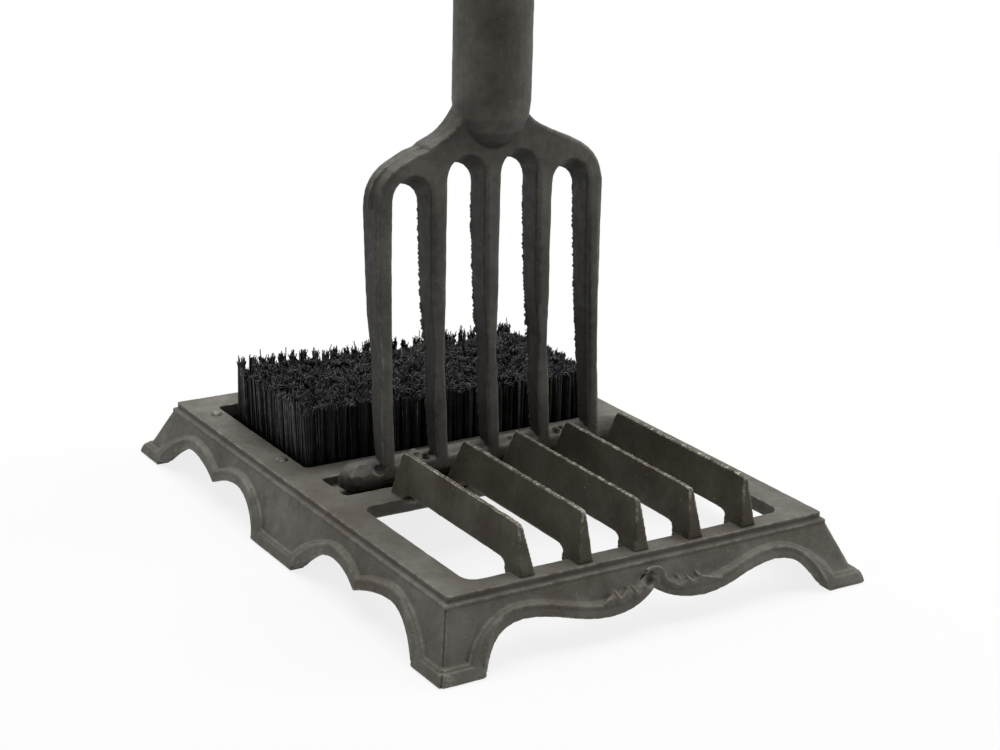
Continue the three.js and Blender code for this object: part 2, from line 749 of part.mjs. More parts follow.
function fork_washer(side, x) {
  const from = bolt_head_top + seat_gap;
  const washer = rod('z', washer_radius, from, from + washer_thickness, [x, trough_at], 24)
    .subtract(rod('z', bolt_radius + fit_gap, from - 1, from + washer_thickness + 1, [x, trough_at], 16));
  return mesh(`fork_washer_${side}`, washer, steel);
}

function rivet_hole(z) {
  const reach = socket_radius + 2;
  return rod('y', rivet_radius + fit_gap, socket_at - reach, socket_at + reach, [0, 0, z], 12);
}

// Pin along Y with a low domed head at each end, whose flat sides are one seat away from its middle
function headed_pin(seat) {
  const shoulder = rivet_head_radius * 0.62;
  const shoulder_height = rivet_head_height * 0.8;
  const profile = [
    new THREE.Vector2(0, -seat - rivet_head_height),
    new THREE.Vector2(shoulder, -seat - shoulder_height),
    new THREE.Vector2(rivet_head_radius, -seat),
    new THREE.Vector2(rivet_radius, -seat),
    new THREE.Vector2(rivet_radius, seat),
    new THREE.Vector2(rivet_head_radius, seat),
    new THREE.Vector2(shoulder, seat + shoulder_height),
    new THREE.Vector2(0, seat + rivet_head_height),
  ];
  return new THREE.LatheGeometry(profile, 12);
}

// Rivet across a socket, with its heads on the round wall
function rivet(name, z) {
  const geometry = headed_pin(socket_radius + seat_gap);
  geometry.translate(0, socket_at, z);
  return mesh(name, solid(geometry), steel);
}

function shaft_tube() {
  const inner = shaft_radius - shaft_wall;
  const profile = [
    new THREE.Vector2(inner, shaft_bottom),
    new THREE.Vector2(shaft_radius, shaft_bottom),
    new THREE.Vector2(shaft_radius, shaft_top),
    new THREE.Vector2(inner, shaft_top),
    new THREE.Vector2(inner, shaft_bottom),
  ];
  const geometry = new THREE.LatheGeometry(profile, 32);
  geometry.rotateX(Math.PI / 2);
  geometry.translate(0, socket_at, 0);
  const tube = solid(geometry).subtract(rivet_hole(rivet_height)).subtract(rivet_hole(yoke_rivet_height));
  return mesh('shaft_tube', tube, fork_iron);
}

// Outline of the yoke's two arms in X and Z, open in the middle where the hand goes
function yoke_outline() {
  const outer = grip_span / 2 + yoke_arm_width - yoke_edge_radius;
  const inner = grip_span / 2 + yoke_edge_radius;
  const ear_at = (outer + inner) / 2;
  const neck = socket_radius - socket_wall - yoke_edge_radius;
  const root = yoke_shoulder - yoke_root_depth;
  const bend = yoke_shoulder + yoke_bend_height;
  const handle = yoke_curve_handle;
  const outline = new THREE.Shape();
  outline.moveTo(-neck, root);
  outline.lineTo(neck, root);
  outline.bezierCurveTo(neck, root + handle, outer, bend - 1.5 * handle, outer, bend);
  outline.lineTo(outer, grip_height);
  outline.absarc(ear_at, grip_height, outer - ear_at, 0, Math.PI);
  outline.lineTo(inner, bend);
  outline.bezierCurveTo(inner, bend - handle, handle, yoke_shoulder, 0, yoke_shoulder);
  outline.bezierCurveTo(-handle, yoke_shoulder, -inner, bend - handle, -inner, bend);
  outline.lineTo(-inner, grip_height);
  outline.absarc(-ear_at, grip_height, outer - ear_at, 0, Math.PI);
  outline.lineTo(-outer, bend);
  outline.bezierCurveTo(-outer, bend - 1.5 * handle, -neck, root + handle, -neck, root);
  return outline;
}

function grip_yoke() {
  const arms = prism_along_y(yoke_outline(), socket_at - yoke_depth / 2 + yoke_edge_radius,
    socket_at + yoke_depth / 2 - yoke_edge_radius, {
      bevelEnabled: true, bevelThickness: yoke_edge_radius, bevelSize: yoke_edge_radius,
      bevelSegments: 2, curveSegments: 4 });
  const collar_top = yoke_shoulder - yoke_cap_depth;
  const profile = [
    new THREE.Vector2(0, yoke_bottom),
    new THREE.Vector2(socket_radius - 1, yoke_bottom),
    new THREE.Vector2(socket_radius, yoke_bottom + 1),
    new THREE.Vector2(socket_radius, collar_top - yoke_collar_taper),
    new THREE.Vector2(socket_radius * 0.85, collar_top - yoke_collar_taper / 3),
    new THREE.Vector2(0, collar_top),
  ];
  const collar = new THREE.LatheGeometry(profile, 32);
  collar.rotateX(Math.PI / 2);
  collar.translate(0, socket_at, 0);
  const reach = grip_span / 2 + yoke_arm_width + cut_margin;
  const yoke = solid(collar).add(solid(arms))
    .subtract(rod('z', shaft_radius + fit_gap, yoke_bottom - 1, shaft_top + seat_gap, [0, socket_at], 32))
    .subtract(rivet_hole(yoke_rivet_height))
    .subtract(rod('x', rivet_radius + fit_gap, -reach, reach, [0, socket_at, grip_height], 12));
  return mesh('grip_yoke', yoke, fork_iron);
}

// Turned grip, slimmer at its ends, with a hole for the pin
function grip_bar() {
  const half = grip_span / 2 - seat_gap;
  const profile = [new THREE.Vector2(rivet_radius + fit_gap, -half)];
  const steps = 8;
  for (let i = 0; i <= steps; i += 1) {
    const share = i / steps * 2 - 1;
    profile.push(new THREE.Vector2(grip_radius - grip_waist * share ** 2, half * share));
  }
  profile.push(new THREE.Vector2(rivet_radius + fit_gap, half));
  profile.push(new THREE.Vector2(rivet_radius + fit_gap, -half));
  const geometry = new THREE.LatheGeometry(profile, 24);
  geometry.rotateZ(-Math.PI / 2);
  geometry.translate(0, socket_at, grip_height);
  return mesh('grip_bar', solid(geometry), fork_iron);
}

// Pin through both arms and the grip
function grip_pin() {
  const geometry = headed_pin(grip_span / 2 + yoke_arm_width + seat_gap);
  geometry.rotateZ(-Math.PI / 2);
  geometry.translate(0, socket_at, grip_height);
  return mesh('grip_pin', solid(geometry), steel);
}

// Board under the plate that carries the bristles, held by a screw near each corner
function brush_board() {
  const front = brush_opening_front - board_overlap;
  const rear = brush_opening_rear + board_overlap;
  let board = rounded_block(board_half, front, rear, board_chamfer, board_top - board_thickness, board_top);
  for (const [x, y] of screw_places()) {
    board = board.subtract(rod('z', screw_radius + fit_gap, screw_tip() - seat_gap, board_top + 1, [x, y], 10));
  }
  return mesh('brush_board', board, board_wood);
}

function screw_tip() {
  return plate_top + seat_gap - screw_length;
}

function brush_screw(index, [x, y]) {
  const seat = plate_top + seat_gap;
  const profile = [
    new THREE.Vector2(0, screw_tip()),
    new THREE.Vector2(screw_radius, screw_tip() + 3),
    new THREE.Vector2(screw_radius, seat),
    new THREE.Vector2(screw_head_radius, seat),
    new THREE.Vector2(screw_head_radius * 0.7, seat + screw_head_height * 0.85),
    new THREE.Vector2(0, seat + screw_head_height),
  ];
  const geometry = new THREE.LatheGeometry(profile, 12);
  geometry.rotateX(Math.PI / 2);
  geometry.translate(x, y, 0);
  return mesh(`brush_screw_${index + 1}`, solid(geometry), steel);
}

// Even spread of numbers from -1 to 1 that repeats from run to run
function scatter(index, salt) {
  const value = Math.sin(index * 12.9898 + salt * 78.233) * 43758.5453;
  return 2 * (value - Math.floor(value)) - 1;
}

// One slice of the brush: a strip of backing with its share of the strands standing on it. The strands
// grow taller towards the rear and are worn shorter towards the right
function bristle_slice(slice) {
  const field_half = opening_half_width - bristle_side_gap;
  const front = brush_opening_front + bristle_front_gap;
  const depth = brush_opening_rear - bristle_rear_gap - front;
  const slice_width = (2 * field_half - (slice_count - 1) * seat_gap) / slice_count;
  const left = -field_half + slice * (slice_width + seat_gap);
  const strip = new THREE.BoxGeometry(slice_width, depth, slice_thickness);
  strip.translate(left + slice_width / 2, front + depth / 2, slice_bottom + slice_thickness / 2);
  const columns = bristle_columns / slice_count;
  const x_pitch = slice_width / columns;
  const y_pitch = depth / bristle_rows;
  const strands = [];
  for (let row = 0; row < bristle_rows; row += 1) {
    for (let column = 0; column < columns; column += 1) {
      const index = (slice * columns + column) * bristle_rows + row;
      const x_share = (left + (column + 0.5) * x_pitch) / field_half;
      const y_share = (row + 0.5) * y_pitch / depth * 2 - 1;
      const height = bristle_height + bristle_unevenness * scatter(index, 1) / 2
        + bristle_rear_rise * y_share - bristle_right_wear * x_share;
      const strand = new THREE.CylinderGeometry(
        bristle_tip_radius, bristle_foot_radius, height, bristle_sides);
      strand.rotateX(Math.PI / 2);
      strand.rotateZ(scatter(index, 2) * 0.4);
      strand.translate(0, 0, height / 2 + slice_bottom + slice_thickness - 0.5);
      const place = strand.attributes.position;
      const lean_x = bristle_lean * scatter(index, 3) / 2;
      const lean_y = bristle_lean * scatter(index, 4) / 2;
      for (let i = 0; i < place.count; i += 1) {
        const share = (place.getZ(i) - slice_bottom - slice_thickness) / bristle_height;
        place.setX(i, place.getX(i) + left + (column + 0.5) * x_pitch + lean_x * share);
        place.setY(i, place.getY(i) + front + (row + 0.5) * y_pitch + lean_y * share);
      }
      strands.push(solid(strand));
    }
  }
  const body = wasm.Manifold.union([solid(strip), ...strands]);
  return mesh(`bristle_slice_${slice + 1}`, body, bristle);
}

const scraper = new THREE.Group();
const base = new THREE.Group();
const brush = new THREE.Group();
const fork = new THREE.Group();
base.add(base_casting());
for (let i = 0; i < blade_count; i += 1) base.add(blade(i));
brush.add(brush_board());
for (let i = 0; i < slice_count; i += 1) brush.add(bristle_slice(i));
screw_places().forEach((place, i) => brush.add(brush_screw(i, place)));
fork.add(fork_casting());
['left', 'right'].forEach((side, i) => {
  fork.add(fork_bolt(side, bolt_places()[i]));
  fork.add(fork_washer(side, bolt_places()[i]));
});
fork.add(rivet('socket_rivet', rivet_height));
fork.add(shaft_tube());
fork.add(grip_yoke());
fork.add(rivet('yoke_rivet', yoke_rivet_height));
fork.add(grip_bar());
fork.add(grip_pin());
scraper.add(base, brush, fork);

export default scraper;
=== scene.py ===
# %% [markdown]
# # A cast iron boot scraper
#
# A low plate stands on splayed, scalloped feet. Five thin blades cross its front half, a stiff black
# brush fills its rear half, and a garden fork stands between them as the handle. Nearly all of it is
# grey iron poured into sand moulds, so edges are soft, the skin is slightly grainy, and no face is
# quite flat.
#
# The frame has fixed the sizes. This lesson gives each part its skin, small lumps and finish, and then
# lights it.

# %% Load the frame
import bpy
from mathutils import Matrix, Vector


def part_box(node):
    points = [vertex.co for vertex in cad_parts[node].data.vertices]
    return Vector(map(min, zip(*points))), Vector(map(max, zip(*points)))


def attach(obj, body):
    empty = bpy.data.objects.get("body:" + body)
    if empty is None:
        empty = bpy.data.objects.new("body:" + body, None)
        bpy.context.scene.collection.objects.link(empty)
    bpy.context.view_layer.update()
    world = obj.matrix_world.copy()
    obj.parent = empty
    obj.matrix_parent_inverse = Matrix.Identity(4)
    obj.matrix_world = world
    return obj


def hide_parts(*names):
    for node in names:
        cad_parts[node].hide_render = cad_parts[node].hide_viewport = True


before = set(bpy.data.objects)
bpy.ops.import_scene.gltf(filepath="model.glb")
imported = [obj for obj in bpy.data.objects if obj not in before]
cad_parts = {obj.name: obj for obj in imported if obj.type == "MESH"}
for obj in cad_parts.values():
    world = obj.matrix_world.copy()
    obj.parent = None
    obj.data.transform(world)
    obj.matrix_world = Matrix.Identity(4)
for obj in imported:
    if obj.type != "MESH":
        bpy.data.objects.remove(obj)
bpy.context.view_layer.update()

import math
import random

import bmesh
import bpy
import numpy as np
from mathutils import Matrix, Vector
from mathutils.geometry import interpolate_bezier

MM = 0.001

# %% [markdown]
# ## Colours
#
# Colours are written as the hex values of a paint chart or a screen. The renderer works with linear
# light, so one function turns each value from the one scale to the other.

# %% Colours
def linear(hex_colour):
    """Linear red, green, blue and alpha of an sRGB hex colour such as '#57524B'."""
    parts = [int(hex_colour[i:i + 2], 16) / 255 for i in (1, 3, 5)]
    return [c / 12.92 if c <= 0.04045 else ((c + 0.055) / 1.055) ** 2.4 for c in parts] + [1.0]


print("Middle grey on a chart is", round(linear("#808080")[0], 3), "in linear light")

# %% [markdown]
# ## Building a material out of nodes
#
# A material is a chain of small steps: a place on the piece, a pattern there, a colour for the pattern,
# and a shader. One function adds a step, one feeds it, and the rest are steps that every material
# needs.

# %% Steps of a material
def feed(tree, node, **inputs):
    """Gives a node's inputs, by name or by number as in i0, a value or another node's output."""
    for name, value in inputs.items():
        socket = node.inputs[int(name[1:]) if name[1:].isdigit() else name.replace("_", " ")]
        if isinstance(value, bpy.types.NodeSocket):
            tree.links.new(value, socket)
        else:
            socket.default_value = value
    return node


def add(tree, kind, settings=None, **inputs):
    """Adds a node with its settings, which are properties, and feeds its inputs."""
    node = tree.nodes.new("ShaderNode" + kind)
    for name, value in (settings or {}).items():
        setattr(node, name, value)
    return feed(tree, node, **inputs)


def ramp(tree, value, stops):
    """Turns a value into a colour, along stops of a position and a hex colour."""
    node = add(tree, "ValToRGB", Fac=value)
    elements = node.color_ramp.elements
    while len(elements) < len(stops):
        elements.new(0.5)
    for element, (position, colour) in zip(elements, stops):
        element.position = position
        element.color = linear(colour)
    return node.outputs["Color"]


def fit(tree, value, start, end, low=0.0, high=1.0):
    """Turns a value that runs from start to end into one that runs from low to high."""
    node = add(tree, "MapRange", {"clamp": True}, Value=value, From_Min=start, From_Max=end,
               To_Min=low, To_Max=high)
    return node.outputs["Result"]


def calculate(tree, operation, first, second):
    """Multiplies, adds or compares two values."""
    return add(tree, "Math", {"operation": operation}, i0=first, i1=second).outputs[0]


def blend(tree, factor, below, above):
    """Lays one colour over another by a factor."""
    return add(tree, "Mix", {"data_type": "RGBA"}, i0=factor, i6=below, i7=above).outputs[2]


def brighten(tree, colour, amount):
    """Makes a colour lighter or darker by a factor."""
    return add(tree, "VectorMath", {"operation": "SCALE"}, i0=colour, Scale=amount).outputs[0]


def noise(tree, place, size, detail=2.0, roughness=0.5):
    """Cloudy pattern whose patches are about size metres across."""
    node = add(tree, "TexNoise", Vector=place, Scale=1 / size, Detail=detail, Roughness=roughness)
    return node.outputs["Fac"]


def new_material(name):
    """Empty material with its shader, and the place on the piece in its own coordinates."""
    material = bpy.data.materials.new(name)
    material.use_nodes = True
    tree = material.node_tree
    return material, tree, tree.nodes["Principled BSDF"], add(tree, "TexCoord").outputs["Object"]


# %% [markdown]
# ## Cast iron under a dark wax finish
#
# Grey iron takes the print of the moulding sand, a grain of a few tenths of a millimetre, drawn here at
# 0.9 mm so that it shows at this distance. The casting was browned and waxed, which gives a matt
# grey-brown that drifts to olive and warm brown in patches. Handling has rubbed it off the edges. The
# corners are darkened, partly by dirt and partly as painted shade, and undersides and the faces between
# the tines get a painted shade as well.
#
# Each casting will carry a measure named "edge": how many millimetres a point stands out of its
# surroundings, or below zero how far it sinks in.

# %% Cast iron
GRAIN = 0.9 * MM
POCKS = 2.6 * MM
MOTTLE = 5 * MM
DRIFT = 34 * MM
CHIP = 2.4 * MM
TINES_TOP = (210 * MM, 200 * MM)


def worn_spots(tree, place, spots):
    """One near some places that were knocked, each with its radius, and broken up by specks."""
    near = 0.0
    for centre, radius in spots:
        away = add(tree, "VectorMath", {"operation": "DISTANCE"}, i0=place, i1=Vector(centre) * MM)
        near = calculate(tree, "MAXIMUM", near, fit(tree, away.outputs["Value"], radius * MM, 0.0))
    specks = fit(tree, noise(tree, place, 0.8 * MM, 4.0, 0.75), 0.5, 0.6)
    return calculate(tree, "MULTIPLY", fit(tree, near, 0.0, 0.4), specks)


def painted_shade_faces(tree, height):
    """Painted shade mask: one on undersides, and on faces below the fork's shoulder that look to the
    left or right.
    """
    facing = add(tree, "SeparateXYZ", Vector=add(tree, "TexCoord").outputs["Normal"])
    sideways = fit(tree, calculate(tree, "ABSOLUTE", facing.outputs["X"], 0.0), 0.8, 0.97)
    between_tines = calculate(tree, "MULTIPLY", sideways, fit(tree, height, *TINES_TOP))
    return calculate(tree, "MAXIMUM", between_tines, fit(tree, facing.outputs["Z"], -0.1, -0.95))


def cast_iron(name, shades, dirt_and_shade_colour, worn, edge_start, edge_end, wear, worn_above=(-1, 0),
              painted_shade_level=1.0, spots=()):
    """Iron in three shades, with dirt and painted shade in its corners, painted shade on undersides and
    between tines, and worn metal on its edges.
    """
    material, tree, shader, place = new_material(name)
    drift = noise(tree, place, DRIFT, 3.0)
    mottle = noise(tree, place, MOTTLE, 4.0, 0.6)
    grain = noise(tree, place, GRAIN, 2.0, 0.6)
    pits = noise(tree, place, POCKS, 2.0)
    edge = add(tree, "Attribute", {"attribute_name": "edge"}).outputs["Fac"]
    height = add(tree, "SeparateXYZ", Vector=place).outputs["Z"]

    colour = ramp(tree, drift, list(zip((0.34, 0.5, 0.66), shades)))
    colour = brighten(tree, colour, fit(tree, mottle, 0.3, 0.7, 0.9, 1.1))
    colour = brighten(tree, colour, fit(tree, grain, 0.3, 0.7, 0.91, 1.09))
    # Painted shade: undersides, and faces between the fork's tines, are made darker here.
    shade = fit(tree, painted_shade_faces(tree, height), 0.0, 1.0, 1.0, painted_shade_level)
    colour = brighten(tree, colour, shade)
    # Dirt and painted shade: hollows and creases are blended towards a near-black colour.
    dirt_and_shade_mask = calculate(tree, "MULTIPLY", fit(tree, edge, -0.04, -0.38),
                      fit(tree, mottle, 0.25, 0.6, 0.7, 1.0))
    colour = blend(tree, dirt_and_shade_mask, colour, linear(dirt_and_shade_colour))

    broken = calculate(tree, "MULTIPLY", fit(tree, mottle, 0.36, 0.6), fit(tree, pits, 0.3, 0.62))
    rubbed = calculate(tree, "MULTIPLY", fit(tree, edge, edge_start, edge_end), broken)
    rubbed = calculate(tree, "MULTIPLY", rubbed, fit(tree, height, *worn_above, 0.15, 1.0))
    chips = fit(tree, noise(tree, place, CHIP, 3.0, 0.6), 0.735, 0.75)
    bare = calculate(tree, "MAXIMUM", calculate(tree, "MULTIPLY", rubbed, wear), chips)
    bare = calculate(tree, "MAXIMUM", bare, worn_spots(tree, place, spots))
    colour = blend(tree, bare, colour, linear(worn))

    sand = add(tree, "Bump", Strength=0.6, Distance=0.22 * MM, Height=grain)
    pitted = add(tree, "Bump", Strength=0.5, Distance=0.4 * MM, Height=fit(tree, pits, 0.26, 0.36),
                 Normal=sand.outputs[0])
    feed(tree, shader, Base_Color=colour, Roughness=fit(tree, mottle, 0.3, 0.7, 0.7, 0.56),
         Metallic=fit(tree, bare, 0.0, 1.0, 0.3, 0.55), Specular_IOR_Level=0.35,
         Normal=pitted.outputs[0])
    return material


# %% [markdown]
# ## Three finishes of the same iron
#
# The base is the palest, because boots and rain wear it. The blades are dark olive, with a bright line
# along their scraped tops, and the fork is grey-brown, with painted shade between its tines and on its
# undersides. They differ only in shades, wear and that painted shade, so one function makes all three.
# Places knocked down to bare metal are given one by one.

# %% Finishes of the base, the blades and the fork
KNOCKS = [((-118.8, -165.6, 36.6), 2.6), ((-129.5, -187, 2.8), 4.4), ((-119.5, -34, 34.4), 1.8),
          ((-119.7, -89, 34), 1.8)]
# After its shades, each finish gets the colour of dirt and painted shade in its hollows, then that of
# worn metal.
base_iron = cast_iron("browned_cast_iron", ("#504941", "#58554E", "#65625B"), "#1D1A17", "#9A978D",
                      0.06, 0.22, 0.5, spots=KNOCKS)
blade_iron = cast_iron("blade_cast_iron", ("#3D352C", "#464236", "#535045"), "#1B1914", "#BDB9AF",
                       0.03, 0.12, 1.0, worn_above=(50 * MM, 61 * MM), spots=[((6.9, -44, 62), 3.0)])
# The fork's faces between its tines and its undersides get a painted shade, at 0.42 of their colour.
fork_iron = cast_iron("fork_cast_iron", ("#45413B", "#4E4C46", "#5B5851"), "#191712", "#8E8B83",
                      0.08, 0.3, 0.6, painted_shade_level=0.42)
print("Cast iron finishes:", base_iron.name, blade_iron.name, fork_iron.name)

# %% [markdown]
# ## Dulled steel, stained board and nylon bristle
#
# The screws, bolts and washers are steel with a dulled plating: the brightest metal on the object, and
# yet far from shiny. The brush board is softwood dipped in black stain. The bristles are nylon, black
# along their length, a little darker towards the roots as painted shade, and grey at the cut tips,
# partly frayed and partly a painted highlight. One noise changes their black from strand to strand,
# and another from tuft to tuft.

# %% Steel, board and bristle
def dulled_steel():
    material, tree, shader, place = new_material("dulled_zinc_steel")
    stain = noise(tree, place, 2.4 * MM, 4.0, 0.6)
    colour = ramp(tree, stain, [(0.35, "#524E47"), (0.52, "#716D65"), (0.7, "#8B877F")])
    bump = add(tree, "Bump", Strength=0.4, Distance=0.12 * MM, Height=noise(tree, place, 0.7 * MM))
    feed(tree, shader, Base_Color=colour, Metallic=0.9,
         Roughness=fit(tree, stain, 0.3, 0.7, 0.62, 0.4), Normal=bump.outputs[0])
    return material


def stained_board():
    material, tree, shader, place = new_material("stained_softwood")
    along = add(tree, "Mapping", Vector=place, Scale=(0.08, 1.0, 1.0)).outputs[0]
    rings = noise(tree, along, 3.2 * MM, 4.0, 0.6)
    colour = ramp(tree, rings, [(0.35, "#12100E"), (0.55, "#1F1B18"), (0.72, "#322B25")])
    bump = add(tree, "Bump", Strength=0.5, Distance=0.2 * MM, Height=rings)
    feed(tree, shader, Base_Color=colour, Roughness=0.75, Normal=bump.outputs[0])
    return material


def nylon_bristle():
    """Black strands whose attribute named "tip" tells how near the cut end a point is."""
    material, tree, shader, place = new_material("black_nylon_bristle")
    tip = add(tree, "Attribute", {"attribute_name": "tip"}).outputs["Fac"]
    # Painted shade and highlight: the strands darken towards their roots, and their tips turn grey,
    # partly as frayed nylon and partly as a painted highlight.
    tone = ramp(tree, tip, [(0.0, "#141415"), (0.5, "#1B1B1D"), (0.86, "#1B1C1E"), (1.0, "#676866")])
    strand = fit(tree, noise(tree, place, 1.3 * MM, 1.0), 0.3, 0.7, 0.4, 1.6)
    tuft = fit(tree, noise(tree, place, 7 * MM, 1.0), 0.36, 0.62, 0.45, 1.25)
    feed(tree, shader, Base_Color=brighten(tree, brighten(tree, tone, strand), tuft),
         Roughness=fit(tree, tip, 0.8, 1.0, 0.42, 0.6))
    return material


zinc_steel = dulled_steel()
black_board = stained_board()
nylon = nylon_bristle()
print("Other finishes:", zinc_steel.name, black_board.name, nylon.name)

# %% [markdown]
# ## Copies and pieces
#
# Every piece that is worked over starts as a copy of its node. Modifiers reshape the copy, and their
# result is kept as plain mesh, so that the next step can measure it and move its points.

# %% Copies, pieces and modifiers
def node_copy(*nodes):
    """The meshes of some nodes in one bmesh, with the corners of their loose triangles merged."""
    shape = bmesh.new()
    for node in nodes:
        shape.from_mesh(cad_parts[node].data)
    bmesh.ops.remove_doubles(shape, verts=shape.verts, dist=1e-6)
    return shape


def ball(shape, place, radius):
    """Small ball of metal that the skin fuses with what it touches."""
    bmesh.ops.create_icosphere(shape, subdivisions=1, radius=radius, matrix=Matrix.Translation(place))


def place_object(name, data):
    """Puts a mesh, curve, lamp or camera into the scene as an object."""
    thing = bpy.data.objects.new(name, data)
    bpy.context.scene.collection.objects.link(thing)
    return thing


def piece_from(shape, name):
    """Makes a piece of a bmesh and frees the bmesh."""
    mesh = bpy.data.meshes.new(name)
    shape.to_mesh(mesh)
    shape.free()
    return place_object(name, mesh)


def modified_mesh(piece):
    """The mesh that a piece's modifiers make of it."""
    graph = bpy.context.evaluated_depsgraph_get()
    return bpy.data.meshes.new_from_object(piece.evaluated_get(graph), depsgraph=graph)


def apply_modifiers(piece):
    """Replaces a piece's mesh by what its modifiers make of it."""
    finished = modified_mesh(piece)
    old = piece.data
    piece.modifiers.clear()
    piece.data = finished
    bpy.data.meshes.remove(old)
    finished.name = piece.name


def vectors(mesh, what):
    """One row of three numbers for each point: its place ("co") or its direction ("normal")."""
    values = np.empty(3 * len(mesh.vertices), np.float32)
    mesh.vertices.foreach_get(what, values)
    return values.reshape(-1, 3)


def move_points(piece, move):
    """Moves a piece's points to where a function puts them."""
    moved = move(vectors(piece.data, "co"))
    piece.data.vertices.foreach_set("co", np.ascontiguousarray(moved, np.float32).ravel())
    piece.data.update()


def curve_mesh(curve):
    """Turns a curve into a mesh, and deletes the curve."""
    holder = place_object(curve.name, curve)
    mesh = modified_mesh(holder)
    bpy.data.objects.remove(holder)
    bpy.data.curves.remove(curve)
    return mesh


def take_in(shape, *meshes):
    """Adds meshes to a bmesh, and deletes them."""
    for mesh in meshes:
        shape.from_mesh(mesh)
        bpy.data.meshes.remove(mesh)


def triangle_count(piece):
    return sum(len(face.vertices) - 2 for face in piece.data.polygons)


# %% [markdown]
# ## Turning a node into a casting
#
# A casting has no sharp edge, and its walls flow into each other. A bevel would tangle in the hundreds
# of short edges on the feet and slots. A skin of small even voxels, smoothed a little, softens all
# alike and fuses whatever is put against it, so every iron piece gets one.
#
# While the skin is even, a much stronger smoothing finds its edges: it moves a point on an edge
# inwards, and one in a corner outwards. That distance is the measure "edge". Then low lumps are pushed
# in, and a decimation thins the flat faces.

# %% Skin of a casting
EDGE_REACH = 14
LUMP_SIZE = 9 * MM
SKIN_GROWTH = 0.15 * MM


def smooth(piece, times):
    soften = piece.modifiers.new("soften", "SMOOTH")
    soften.factor = 0.5
    soften.iterations = times


def measure_edges(piece):
    """Stores how far each point stands out of its surroundings, in millimetres, as "edge"."""
    smooth(piece, EDGE_REACH)
    spread = modified_mesh(piece)
    piece.modifiers.clear()
    moved = vectors(piece.data, "co") - vectors(spread, "co")
    stands_out = (moved * vectors(piece.data, "normal")).sum(axis=1) / MM
    bpy.data.meshes.remove(spread)
    edge = piece.data.attributes.new("edge", "FLOAT", "POINT")
    edge.data.foreach_set("value", stands_out)
    print(piece.name, "stands out by", *np.percentile(stands_out, (0.5, 5, 50, 95, 99.5)).round(2), "mm")


def push(piece, strength):
    """Moves the surface in and out by low lumps, and outwards by the skin's growth as a whole."""
    lumps = bpy.data.textures.new(piece.name + "_lumps", "CLOUDS")
    lumps.noise_scale = LUMP_SIZE
    uneven = piece.modifiers.new("uneven", "DISPLACE")
    uneven.texture = lumps
    uneven.texture_coords = "LOCAL"
    uneven.mid_level = 0.5 - SKIN_GROWTH / strength
    uneven.strength = strength


def cast_skin(piece, voxel, smoothing, triangles, lumps, carve=None):
    """Even voxel skin, smoothed, carved, measured, pushed about by lumps and thinned."""
    skin = piece.modifiers.new("skin", "REMESH")
    skin.mode = "VOXEL"
    skin.voxel_size = voxel
    smooth(piece, smoothing)
    apply_modifiers(piece)
    if carve:
        move_points(piece, carve)
    measure_edges(piece)
    push(piece, lumps)
    apply_modifiers(piece)
    count = triangle_count(piece)
    if count > triangles:
        thin = piece.modifiers.new("thin", "DECIMATE")
        thin.ratio = triangles / count
        apply_modifiers(piece)


def press_in(places, hollows):
    """Presses hollows in: a centre, a radius and a depth in millimetres, and a direction."""
    for centre, radius, depth, direction in hollows:
        near = np.clip(1 - np.linalg.norm(places - np.array(centre), axis=1) / (radius * MM), 0, 1)
        places += np.outer(np.sqrt(near) * depth * MM, direction)
    return places


def keep_inside(piece, low, high):
    """Trims the lumps that stand out of a box, such as under the feet."""
    move_points(piece, lambda places: np.clip(places, np.array(low), np.array(high)))


def finish_piece(piece, material, slot, *nodes):
    """Smooth shading, a material, and the piece's place in the frame."""
    piece.data.materials.clear()
    piece.data.materials.append(material)
    piece.data.polygons.foreach_set("use_smooth", [True] * len(piece.data.polygons))
    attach(piece, "root")
    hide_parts(*nodes)
    print(piece.name, "has", triangle_count(piece), "triangles")


# %% [markdown]
# ## Border of the base
#
# A raised border with a rolled rim runs along the scalloped edge of all four sides, and a bead runs
# round the plate on the ledge where the sides begin. The real pattern had them laid on as rods of wax
# or wood. The same is done here: a round section is swept along a curve on each side, and the skin
# fuses it with the wall. A place on a sloping side is given by how far along and how high it is.

# %% Rim of the border
PLATE_HALF = Vector((118.5, 166.0))
SPLAY = Vector((17.3, 23.1))
LEDGE = 31.3
RIM_RISE = 5.4
RIM_RADIUS = 1.5
RIM_SUNK = 0.8
FACE_STEP = 2.0
BORDER_PROUD = 3.0
BEAD_OUT = 1.15
BEAD_HEIGHT = 31.9
BEAD_RADIUS = 1.2
CURVE_POINTS = 9


def on_side(side, along, height, proud):
    """Place on a sloping side: 0 is the front, 1 the right, 2 the rear and 3 the left one."""
    axis = 1 if side in (0, 2) else 0
    slope = (SPLAY[axis] - BORDER_PROUD - FACE_STEP) / LEDGE
    out = PLATE_HALF[axis] + FACE_STEP + slope * (LEDGE - height) + proud
    return Matrix.Rotation(side * math.pi / 2, 3, "Z") @ Vector((along, -out, height)) * MM


def scallops(knots):
    """Points through knots of a place along the side, a height, and the handles before and after."""
    points = []
    for start, end in zip(knots, knots[1:]):
        place, height, _, after = start
        next_place, next_height, before, _ = end
        points += interpolate_bezier((place, height, 0), (place + after[0], height + after[1], 0),
                                     (next_place + before[0], next_height + before[1], 0),
                                     (next_place, next_height, 0), CURVE_POINTS)[:-1]
    return points + [Vector((knots[-1][0], knots[-1][1], 0))]


